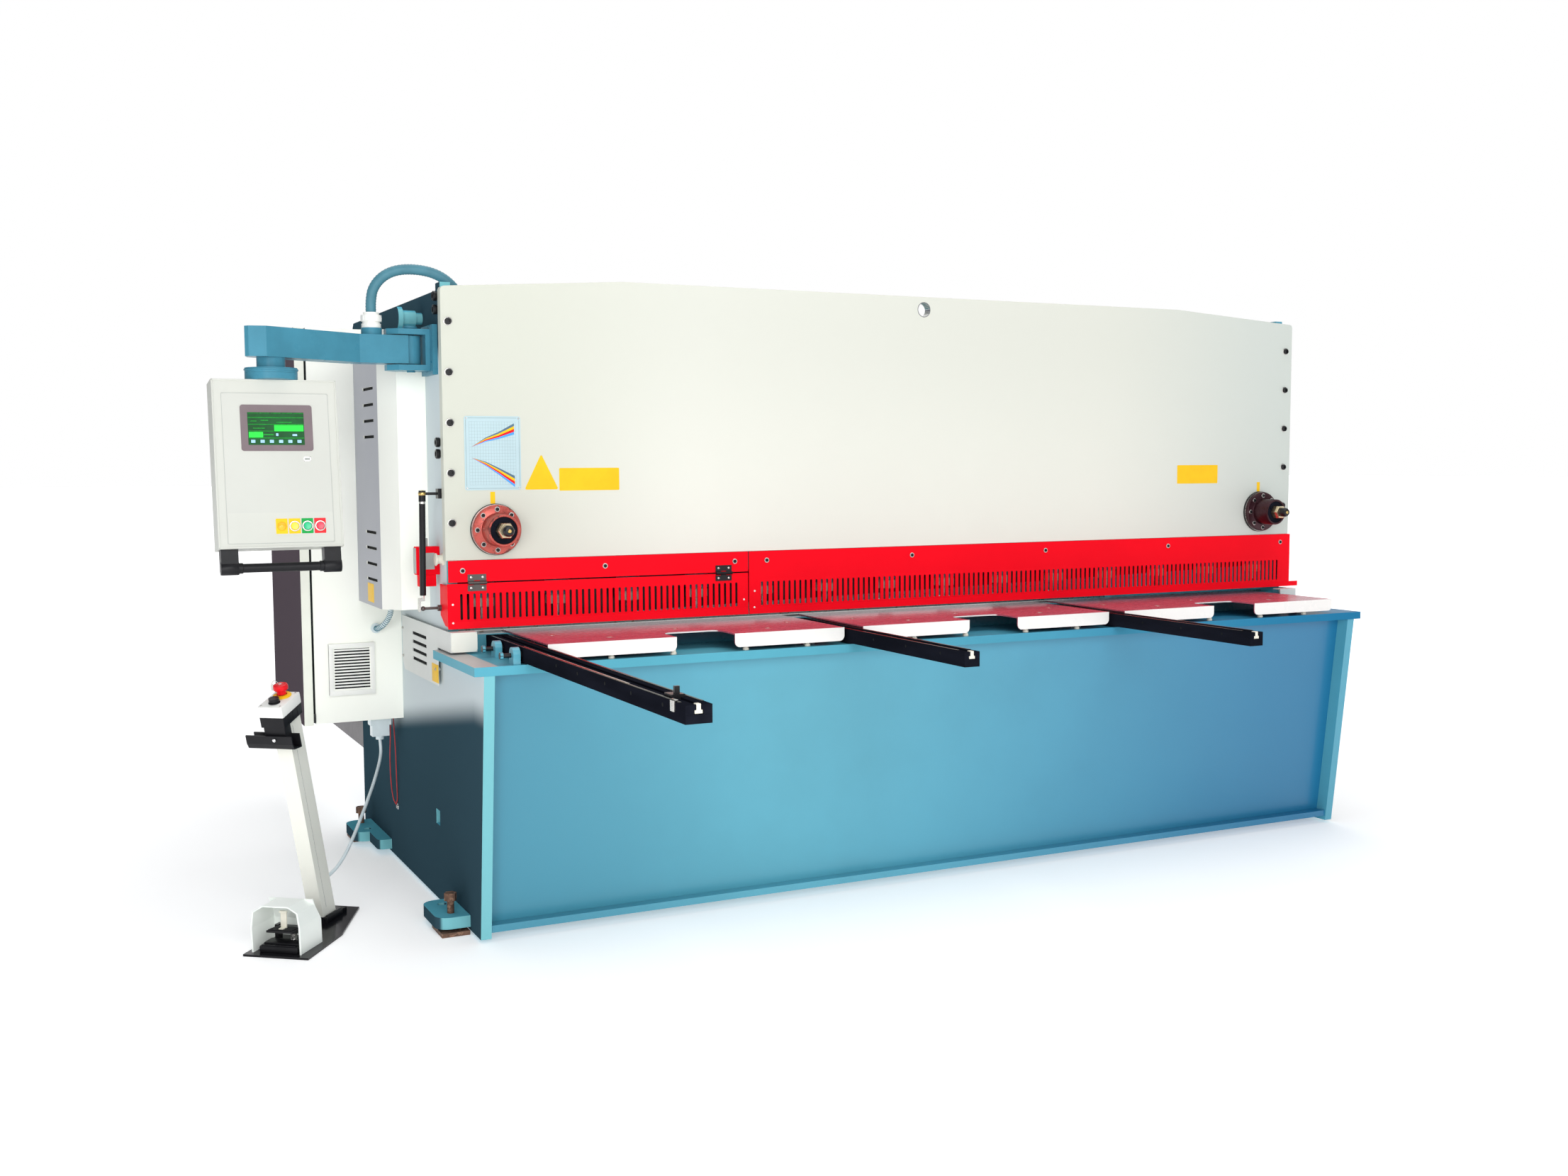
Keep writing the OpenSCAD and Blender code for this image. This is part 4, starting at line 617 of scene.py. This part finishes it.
for row, band_look in enumerate(BANDS):
    high, low = 1432 - 8 * row, 1281 - 8 * row
    flat_piece("chart_band_" + band_look, band_look, [
        [(-1510, 1364), (-1468, 1391 - 3 * row), (-1430, 1407 - 5 * row), (-1384, high), (-1384, high - 8),
         (-1430, 1402 - 5 * row), (-1468, 1388 - 3 * row)],
        [(-1510, 1334), (-1468, 1322 - 3 * row), (-1430, 1304 - 5 * row), (-1384, low), (-1384, low - 8),
         (-1430, 1299 - 5 * row), (-1468, 1319 - 3 * row)]], 1.3 + 0.05 * row, 0.15)
socket_screws("chart_screws", [(x, PANEL_Y - 1.2, z) for x in (-1524, -1371) for z in (1247, 1446)],
              -Y, 2.6, head="chrome")
flat_piece("yellow_patches", "yellow", [
    rounded(-1250, -1064, 1237, 1303, 3), rounded(1057, 1244, 1234, 1300, 3),
    rounded(-1457, -1443, 1202, 1236, 2), rounded(1433, 1447, 1202, 1236, 2),
    [(-1350, 1241), (-1258, 1241), (-1254.5, 1244.5), (-1256, 1248), (-1301, 1338), (-1304, 1340.5),
     (-1307, 1338), (-1352, 1248), (-1353.5, 1244.5)]], 0.0, 0.5)
hole = Piece("lifting_hole_rim", "chrome")
hole.turned([(22, 30), (22, -0.6), (24.5, -0.6), (24.5, 0.3)], (-5, PANEL_Y, 1809), Y, 40)
hole.open_ends(40).done()

# Adjusting shafts

flange = Piece("shaft_flange_rings", "anodised")
backs = Piece("shaft_back_discs", "black_screw")
shims = Piece("shaft_shims", "zinc")
discs = Piece("shaft_discs", "black_steel")
hexes = Piece("shaft_hexes", "shaft_nut")
pins = Piece("shaft_pins", "black_screw")
tips = Piece("shaft_pin_tips", "brass")
bolt_circle = []
for x in (-1444, 1444):
    spot = (x, PANEL_Y, 1128)
    backs.turned([(73.4, 0), (74, 1), (74, 6), (73.2, 7)], spot, -Y, 72)
    shims.turned([(72.4, 6.8), (72.4, 9)], spot, -Y, 72)
    flange.turned([(71, 8.8), (71, 20.5), (69.5, 22), (48.5, 22), (46.8, 23), (46, 26), (46, 88), (44.6, 90),
                   (40, 90), (39, 89), (39, 85)], spot, -Y, 72)
    discs.turned([(38.8, 84), (38.8, 86.5), (37.5, 87.5), (24, 87.5), (23, 86)], spot, -Y, 48)
    discs.turned([(4, 87), (4, 92), (3.4, 92.6)], (x - 25, PANEL_Y, 1144), -Y, 14)
    hexes.turned([(23, 87), (25, 89.5), (25, 112), (22, 117), (15, 117)], spot, -Y, 6)
    pins.turned([(15, 116), (16, 118), (16, 138), (12, 144), (6, 145), (5.6, 143)], spot, -Y, 32)
    tips.turned([(5.4, 142), (5.4, 145), (4.4, 146)], spot, -Y, 20)
    for k in range(8):
        angle = math.radians(45 * k)
        bolt_circle.append((x + 58.5 * math.cos(angle), PANEL_Y - 22, 1128 + 58.5 * math.sin(angle)))
flange.done("shaft_flanges")
for made in (backs, shims, discs, hexes, pins, tips):
    made.done()
socket_screws("flange_screws", bolt_circle, -Y, 5.2, ring=7.6, ring_look="zinc")

# Hold-downs seen through the slots

sleeves = Piece("hold_down_sleeves", "bone_plastic")
sleeve_tops = Piece("hold_down_collars", "blue_paint")
for i in range(14):
    x = -1470 + i * 2940 / 13
    sleeves.turned([(33, 0), (34, 1.5), (34, 24), (31, 27)], (x, 405, 903), Z, 32)
    sleeve_tops.turned([(33, 28), (36, 30), (36, 70), (33, 72)], (x, 405, 903), Z, 32)
sleeves.done()
sleeve_tops.done()

# Hinges, rivets and the switch at the flap

RIVET = [(3.2, 0), (3.0, 0.9), (1.6, 1.6)]
rivets = Piece("guard_rivets", "white_plastic")
for x, z in ((-622, 866), (-621, 917)):
    rivets.turned(RIVET, (x, GUARD_Y, z), -Y, 16)
rivets.done()
flap_rivets = Piece("flap_rivets", "white_plastic", "flap")
for x, z in ((-658, 892), (-1573, 916), (-1573, 863)):
    flap_rivets.turned(RIVET, (x, GUARD_Y, z), -Y, 16)
flap_rivets.done()
HINGE_X = (-1502, -727.5)
for name, body, z in (("hinge_screws_upper", "machine", HINGE_Z + 15.5),
                      ("hinge_screws_lower", "flap", HINGE_Z - 15.5)):
    made = Piece(name, "zinc", body)
    for x in HINGE_X:
        for dx in (-17, 17):
            made.turned([(3.6, 0), (3.4, 0.8), (2.2, 1.3), (1.2, 1.3), (1.0, 0.6)],
                        (x + dx, GUARD_Y - 2, z), -Y, 16)
    made.done()

switch = Piece("flap_switch", "red_paint")
switch.box(-1648, -1580, 452, 486, 996, 1078, 2.5)
switch.box(-1641, -1590, 457, 481, 962, 996, 2)
switch.done()
switch_lid = Piece("flap_switch_lid", "seam_grey")
switch_lid.box(-1650, -1647, 455, 483, 1000, 1074, 0.8)
switch_lid.rod((-1620, 469, 1078), Z, 9, 24)
switch_lid.box(-1636, -1596, 450, 453, 1012, 1060, 0.8)
switch_lid.done()
bobbin = Piece("guide_bobbin", "bone_plastic")
bobbin.turned([(17, 0), (18, 1), (18, 5), (13, 8), (12.5, 14), (13, 20), (18, 23), (18, 26), (16, 27)],
              (-HALF_W, 402, 1043), -X, 32)
bobbin.done()
balls = Piece("strut_ends", "brass", "strut_tube")
balls.turned([(4, -11), (8, -8), (10.6, -3), (11, 0), (10.6, 3), (8, 8), (4, 10)], (-1640, 400, 1232), Z, 24)
balls.done()
sleeve = Piece("strut_end_sleeve", "zinc", "strut_tube")
sleeve.turned([(7, -30), (8.6, -28), (8.6, -14), (6, -11)], (-1640, 400, 1232), Z, 24)
sleeve.done()

# Table: rings in the covers and feet under them

COVER_X = (-1402, -423, 556)
INSERT = [(11, 0), (11, 0.5), (9.5, 0.8), (7, 0.8), (6, 0.1), (3, 0.1)]
rings = Piece("cover_inserts", "zinc")
feet = Piece("cover_feet", "bone_plastic")
for x0 in COVER_X:
    for dx, y in ((82, 220), (210, 93), (459, 215), (705, 93), (833, 220)):
        rings.turned(INSERT, (x0 + dx, y, SHEET_Z), Z, 28)
    for dx in (188, 374, 600, 800):
        feet.turned([(9, 0), (9, 5), (7, 7), (7, 44), (10, 46)], (x0 + dx, 22, BED_Z), Z, 20)
for made in (rings, feet):
    made.done()

# Arms: T-slot rails, scale strip, plugs and side holes

strips = Piece("arm_scale_strips", "zinc")
strips.box(-1466.5, -1456, -759, 42, 820.8, 822.2, 0.3)
strips.done()
rails = Piece("arm_rails", "gloss_black")
holes = Piece("arm_side_holes", "gap_shade")
plugs = Piece("arm_slot_plugs", "bone_plastic")
ends = Piece("arm_end_plates", "black_steel")
for x0, width, front in ((-1469, 61, -1112), (-475, 46, -630), (504, 46, -630)):
    mid = x0 + width / 2
    for side in (x0 + 1.2, x0 + width - 9.2):
        rails.box(side + 1, side + 8, front + 40, 330, 820.6, 822.6, 0.6)
    plugs.box(mid - 9, mid + 9, front + 1.0, front + 16, 802, 811, 1.2)
    plugs.box(mid - 5.4, mid + 5.4, front + 1.0, front + 16, 810, 823, 1.2)
    ends.box(x0 + 0.6, x0 + width - 0.6, front - 0.5, front + 1.4, 782, 800.5, 0.6)
for y in (-271, -435, -630, -800, -988):
    holes.turned([(4.4, 0), (4.4, 0.4), (3.4, 0.5)], (-1469, y, 806), -X, 18)
for x0 in (-475, 504):
    for y in (-150, -330, -510):
        holes.turned([(4.0, 0), (4.0, 0.4), (3.0, 0.5)], (x0, y, 806), -X, 18)
for made in (rails, holes, plugs, ends):
    made.done()
bracket = Piece("arm_bracket_clip", "zinc")
bracket.box(-1472, -1469, -1058, -1036, 800, 826, 0.6)
bracket.box(-1472, -1462, -1058, -1036, 823, 826, 0.6)
bracket.done()
adjust = Piece("adjuster_screws", "black_screw")
for y in (30, 204):
    adjust.turned([(9.5, 0), (10.5, 1), (10.5, 8.5), (9.5, 9)], (-1529.5, y, 801), X, 6)
    adjust.turned([(6.4, 0), (6.4, 23)], (-1521, y, 801), X, 20)
    adjust.turned([(9.5, 0), (10.5, 1), (10.5, 7), (9.5, 8)], (-1477.2, y, 801), X, 6)
adjust.done()
block = Piece("end_block", "warm_white")
block.plate(rounded(-1591, -1516.2, BED_Z + 7, 839.4, 9), 296.6, 300.2)
block.done()

# Side cover and cabinet

inside = Piece("louvre_shade", "gap_shade")
inside.box(-1706, -1702, 690, 930, 952, 1130)
inside.box(-1706, -1702, 690, 930, 1384, 1562)
inside.box(-1588.2, -1585, 585, 775, 712, 806)
inside.done()
flat = Piece("yellow_side_patches", "yellow")
flat.box(-1712.6, -1711.8, 740, 826, 896, 953, 0.2)
flat.box(-1592.7, -1591.8, 449, 525, 677, 731, 0.2)
flat.done()
slats = Piece("vent_slats", "white_plastic")
VENT_X = (-1812, -1668)
slats.box(*VENT_X, 958.5, 961.5, 586, 590, 1)
for i in range(14):
    z = 603 + 9.6 * i
    slats.box(-1797, -1683, 962.2, 963.6, z, z + 5.0, 0.3)
slats.done()
vent = Piece("vent_shade", "gap_shade")
vent.box(-1797, -1683, 964, 965, 603, 737)
vent.done()
vent_frame = Piece("vent_frame", "white_plastic")
for x in (-1812, -1694.2 + 11):
    vent_frame.box(x, x + 15, 957.6, 970, 588, 752, 3)
for z in (588, 737):
    vent_frame.box(-1812, -1668.2, 957.4, 970, z, z + 15, 3)
vent_frame.done()
# A dark strip in the gap round the door: painted shade.
gap = Piece("door_gap", "gap_shade")
gap.box(-1862, -1855.6, 972, 1548, 504, 1733)
gap.done()
corners = Piece("cabinet_hinge_blocks", "black_screw")
for z in (505, 1690):
    corners.box(-1861.5, -1855.2, 965, 971, z, z + 28, 1)
corners.done()
link = Piece("link_conduit", "conduit")
LINK = route_from((-1664, 952, 796), [(0, 0, 0), (0, -12, 0), (4, -26, 4), (12, -40, 12), (22, -52, 26),
                                      (30, -60, 44), (34, -66, 64), (36, -70, 89)])
fine = smooth_route(LINK, 3)
for i in range(1, len(fine) - 2, 2):
    along = (fine[i + 1] - fine[i - 1]).normalized()
    link.turned([(8.2, -1), (9.0, -0.4), (9.0, 0.4), (8.2, 1)], fine[i], along, 16)
link.done()

# Control box

face = Piece("box_face_panel", "face_grey", "control_panel", BOX_FRAME)
face.plate(rounded(-135.5, 135.5, -208.5, 189.5, 5), -0.9, 0)
face.done()
frame_strip = Piece("box_face_seams", "seam_grey", "control_panel", BOX_FRAME)
for x0, x1, z0, z1 in ((-136.4, -135.4, -208, 189), (135.4, 136.4, -208, 189), (-135, 135, 189.4, 190.4),
                       (-135, 135, -209.4, -208.4), (-158, -157.2, -218, 224), (157.2, 158, -218, 224)):
    frame_strip.box(x0, x1, -1.1, 0, z0, z1)
frame_strip.done()
low_face = Piece("box_lower_strip", "box_paint", "control_panel", BOX_FRAME)
low_face.plate(rounded(-134.8, 134.8, -207.8, -128, 4), -1.2, -0.8)
low_face.done()
edges = Piece("box_edge_profile", "box_paint", "control_panel", BOX_FRAME)
for x in (-160, 155):
    edges.box(x, x + 5, -1.6, 6, -221.4, 227.4, 1.4)
for z in (-221.5, 222.5):
    edges.box(-159.9, 159.9, -1.6, 6, z, z + 5, 1.4)
edges.done()
bezel = Piece("screen_bezel", "bezel", "control_panel", BOX_FRAME)
bezel.plate(rounded(-91, 93, 36, 159, 7), -2.2, -0.8)
bezel.done()


def screen_tiles(name, look_name, tiles, lift):
    made = Piece(name, look_name, "control_panel", BOX_FRAME)
    for x0, x1, z0, z1 in tiles:
        made.plate(rounded(x0, x1, z0, z1, 0.8, 2), -2.2 - lift, -2.0)
    made.done()


screen_tiles("screen_ground", "screen_dark", [(-73, 71, 52, 139)], 0.3)
screen_tiles("screen_tiles", "screen_green", [
    (-6, 69, 88.5, 105), (-71, -35, 72, 86.5), (-34, -8, 79, 80.2),
    *[(-72, 70, z, z + 0.9) for z in (70, 106.5, 124.5)],
    (-72, -7, 88.5, 89.4), *[(-71 + 29 * i, -45 + 29 * i, 136.4, 137.2) for i in range(5)],
    (-66, -50, 115, 116), (-40, -20, 117, 118), (0, 40, 112, 113), (-60, -30, 96, 97)], 0.5)
screen_tiles("screen_icons", "screen_blue", [
    *[(-66 + 23.6 * i, -55.5 + 23.6 * i, 57.5, 65.5) for i in range(6)], (-2, 4, 76, 83),
    (40, 52, 76, 81)], 0.7)
port = Piece("data_port", "chrome", "control_panel", BOX_FRAME)
for x0, x1, z0, z1 in ((67, 85, 9, 11), (67, 85, 18, 20), (67, 69, 9, 20), (83, 85, 9, 20)):
    port.box(x0, x1, -1.8, -0.6, z0, z1, 0.3)
port.done()
port_slot = Piece("data_port_slot", "seam_grey", "control_panel", BOX_FRAME)
port_slot.box(69, 83, -1.3, -0.6, 11, 18)
port_slot.done()
PLATES = ((1, "yellow"), (34, "yellow"), (67, "green"), (100, "red_plastic"))
for plate_look in ("yellow", "green", "red_plastic"):
    made = Piece("button_plates_" + plate_look, plate_look, "control_panel", BOX_FRAME)
    for x, used in PLATES:
        if used == plate_look:
            made.plate(rounded(x - 15, x + 15, -185, -144.5, 1.5, 2), -1.7, -1.1)
    made.done()
lamp = Piece("ready_lamp", "orange_lamp", "control_panel", BOX_FRAME)
lamp.turned([(11.5, 0), (11.5, 2), (10.5, 4.5), (7, 7), (2.5, 8.2)], (1, -1.6, -165.5), -Y, 32)
lamp.done()
bezels = Piece("button_rings", "zinc", "control_panel", BOX_FRAME)
for x in (34, 67, 100):
    bezels.turned([(14.2, 0), (14.4, 2.2), (13.6, 3.6), (11.4, 3.8), (10.7, 1.2), (10.7, -0.4), (13.5, -0.4)],
                  (x, -1.6, -165.5), -Y, 36)
bezels.open_ends(36).done()
for colour, x in (("yellow", 34), ("green", 67), ("red", 100)):
    cap = Piece(colour + "_cap", colour + "_lamp", "panel_button_" + colour, BOX_FRAME)
    cap.turned([(9.9, 0), (9.9, 1), (9.2, 1.8), (6, 1.3), (2, 1.1)], (x, -6.6, -165.5), -Y, 32)
    cap.done()
grip = Piece("handle_collars", "black_plastic", "control_panel", BOX_FRAME)
for s in (-1, 1):
    grip.turned([(16.5, 0), (17.6, 1.5), (17.6, 43), (16.5, 44.5), (12.6, 44.5)],
                (s * 154.2, 27, -271.5), -s * X, 36)
    grip.turned([(13.2, 0), (14.2, 1), (14.2, 10), (13.2, 11)], (s * 109.6, 27, -271.5), -s * X, 36)
grip.done()
coupling = Piece("coupling_rings", "arm_paint", "swing_arm")
coupling.turned([(69.2, 0), (70.2, 1.2), (70.2, 4), (69.2, 5)], (*BOSS, 1567), Z, 64)
coupling.done()
gland_nut = Piece("gland_nut", "white_plastic", "swing_arm")
gland_nut.turned([(28, 0), (30, 1.5), (30, 13), (28, 14.5)], (-1750, 500, 1721.5), Z, 6)
gland_nut.turned([(27, 0), (27.8, 1), (27.8, 10)], (-1750, 500, 1703.4), Z, 12)
gland_nut.done()
hub = Piece("hub_cap", "arm_paint")
hub.turned([(19, 0), (20, 1), (20, 5), (18, 7), (8, 7)], (-1640, 500, 1705), Z, 32)
hub.done()

# Foot unit

lid = Piece("stop_box_lid", "white_plastic", "machine", STOP_FRAME)
lid.box(-36, 36, -53, 53, 30, 62, 3)
lid.done("stop_box")
base = Piece("stop_box_base", "black_plastic", "machine", STOP_FRAME)
base.box(-34.8, 34.8, -51.8, 51.8, 0, 31, 2)
base.box(-29, 33, -51, -17, -50, 1, 3)
for y in (-26, 0, 26):
    base.box(-35.4, 35.4, y - 1, y + 1, 3, 28, 0.4)
base.done()
lid_screws = [(sx * 28, sy * 44, 61.6) for sx in (-1, 1) for sy in (-1, 1)]
socket_screws("stop_box_screws", lid_screws, Z, 2.6, place=STOP_FRAME, head="zinc")
ring = Piece("stop_ring", "yellow", "machine", STOP_FRAME)
ring.turned([(24, 0), (25, 1), (25, 3), (22, 5.5), (14.6, 6), (14.4, 0.3)], (0, 22, 62), Z, 40)
ring.done()
collar = Piece("start_ring", "black_plastic", "machine", STOP_FRAME)
collar.turned([(15.5, 0), (16, 1), (15.4, 3), (14.6, 3.4)], (0, -22, 62), Z, 36)
collar.done()
mushroom = Piece("stop_mushroom", "red_plastic", "emergency_stop", STOP_FRAME)
mushroom.turned([(12.8, 69), (13.4, 71), (12.5, 76), (14, 80), (19.4, 83), (20, 87), (20, 92), (18.5, 96),
                 (14, 98), (4, 98)], (0, 22, 0), Z, 40)
mushroom.done("stop_button")
key = Piece("stop_keys", "zinc", "emergency_stop", STOP_FRAME)
key.turned([(4.5, 97.6), (4.5, 98.4), (3.5, 98.6)], (0, 22, 0), Z, 20)
loop = [(-17 + 9 * math.cos(t / 16 * math.tau), 26, 96 + 9 * math.sin(t / 16 * math.tau)) for t in range(17)]
key.tube(loop, 0.8, 8)
key.box(-31, -23, 25, 26.6, 76, 94, 0.5)
key.box(-28, -20, 27.4, 29, 74.8, 91, 0.5)
key.done()
wedge = Piece("column_wedge", "black_plastic", "machine", FOOT_FRAME)
wedge.box(80, 88, 345, 436, 6, 26, 2)
wedge.box(28, 90, 336, 344, 6, 24, 2)
wedge.done()
crease = Piece("column_crease", "seam_grey", "machine", COLUMN_FRAME)
crease.box(44.9, 45.3, 24, 25.4, 24, 600)
crease.done()
strap = Piece("pedal_latch", "bone_plastic", "pedal", FOOT_FRAME)
strap.box(78, 96, 100, 104, 64, 108, 1.2)
strap.box(76, 98, 96, 104, 106, 112, 1.5)
strap.box(80, 94, 84, 102, 64, 67, 1)
strap.done()
tread = Piece("pedal_tread", "black_plastic", "pedal", FOOT_FRAME)
for i in range(6):
    tread.box(54, 124, 76 + 8 * i, 79 + 8 * i, 63.2 - 0.6 * i, 66 - 0.6 * i, 0.8)
tread.done()
plinth = Piece("pedal_plinth", "black_plastic", "machine", FOOT_FRAME)
plinth.box(34, 146, 62, 76, 6, 24, 4)
plinth.box(40, 140, 76, 120, 24, 30, 3)
plinth.done()
spring = Piece("pedal_spring", "zinc", "machine", FOOT_FRAME)
coil = [(112 + 8 * math.cos(t * 0.5), 108 + 8 * math.sin(t * 0.5), 30 + 0.34 * t) for t in range(62)]
spring.tube(coil, 1.1, 8)
spring.done()
hem = Piece("hood_front_hem", "hood_paint", "machine", FOOT_FRAME)
HOOD = [(17, 6), (14, 72), (19, 117), (48, 135), (124, 135), (150, 119), (156, 80), (158, 6)]
hem.tube([(x, 58.6, z - 0.8) for x, z in HOOD], 1.9, 8)
hem.done()
socket_screws("handle_bolts", [(27, -47, 590)], -Y, 5, place=COLUMN_FRAME, head="chrome")

# Back of the machine

cap = Piece("filler_cap", "black_plastic")
cap.turned([(40, 0), (43, 2), (43, 12), (38, 16), (12, 16), (10, 19), (4, 19)], (-120, 905, 1798), Z, 36)
cap.done()
fins = Piece("motor_fins", "dark_paint_and_shade")
for k in range(24):
    angle = k / 24 * math.tau
    turn = Matrix.Translation((270, 1225, 1630)) @ Matrix.Rotation(angle, 4, "X")
    fins.box(-105, 105, -1.5, 1.5, 89, 96, 0.6, turn)
fins.done()
glass = Piece("sight_glass", "brass")
glass.turned([(14, 0), (16, 1.5), (16, 5), (11, 7), (9, 5)], (-700, 1115, 1560), Y, 28)
glass.done()

# Floor, light and sky

floor_mesh = bpy.data.meshes.new("studio_floor")
floor_mesh.from_pydata([(-90, -90, 0), (90, -90, 0), (90, 90, 0), (-90, 90, 0)], [], [(0, 1, 2, 3)])
floor = bpy.data.objects.new("studio_floor", floor_mesh)
bpy.context.scene.collection.objects.link(floor)
ground = look("floor", (0.90, 0.90, 0.90), 0.7, mottle=0.004, grain=60, bump=0.02, specular=0.05)
reach = node(ground.tree, "ShaderNodeVectorMath", operation="LENGTH")
ground.link(ground.coords.outputs["Object"], reach.inputs[0])
glow = node(ground.tree, "ShaderNodeMapRange", interpolation_type="SMOOTHSTEP")
for name, value in (("From Min", 2.0), ("From Max", 9.0), ("To Min", 0.34), ("To Max", 1.0)):
    glow.inputs[name].default_value = value
ground.link(reach.outputs["Value"], glow.inputs["Value"])
ground.link(glow.outputs[0], ground.shader.inputs["Emission Strength"])
ground.shader.inputs["Emission Color"].default_value = (1, 1, 1, 1)
floor.data.materials.append(LOOKS["floor"].material)

world = bpy.data.worlds.new("studio")
bpy.context.scene.world = world
world.use_nodes = True
tree = world.node_tree
sky = tree.nodes["Background"]
coords = node(tree, "ShaderNodeTexCoord")
split = node(tree, "ShaderNodeSeparateXYZ")
tree.links.new(coords.outputs["Generated"], split.inputs[0])
far = ramp(tree, split.outputs[1], 0.15, 0.5)
tint = mixed(tree, far, (0.36, 0.37, 0.38), (1.0, 1.0, 1.0))
left = ramp(tree, maths(tree, "MULTIPLY", split.outputs[0], -1.0), 0.01, 0.14)
tint = mixed(tree, left, tint, (0.20, 0.21, 0.23))
tree.links.new(tint, sky.inputs["Color"])
sky.inputs["Strength"].default_value = 1.0


def area_light(name, place, target, width, height, watts):
    data = bpy.data.lights.new(name, "AREA")
    data.shape, data.size, data.size_y, data.energy = "RECTANGLE", width, height, watts
    lamp_object = bpy.data.objects.new(name, data)
    bpy.context.scene.collection.objects.link(lamp_object)
    lamp_object.location = place
    lamp_object.rotation_euler = (Vector(target) - Vector(place)).to_track_quat("-Z", "Y").to_euler()


area_light("key_light", (-1.7, -8.0, 3.8), (-0.2, 0, 0.9), 5.5, 4, 285)
area_light("fill_light", (-4.2, -4.6, 1.5), (-1.75, 0.6, 0.8), 1.6, 1.6, 62)
area_light("top_light", (0, 0.5, 6.5), (0, 0, 0), 7, 6, 220)
bpy.context.scene.view_settings.view_transform = "Standard"
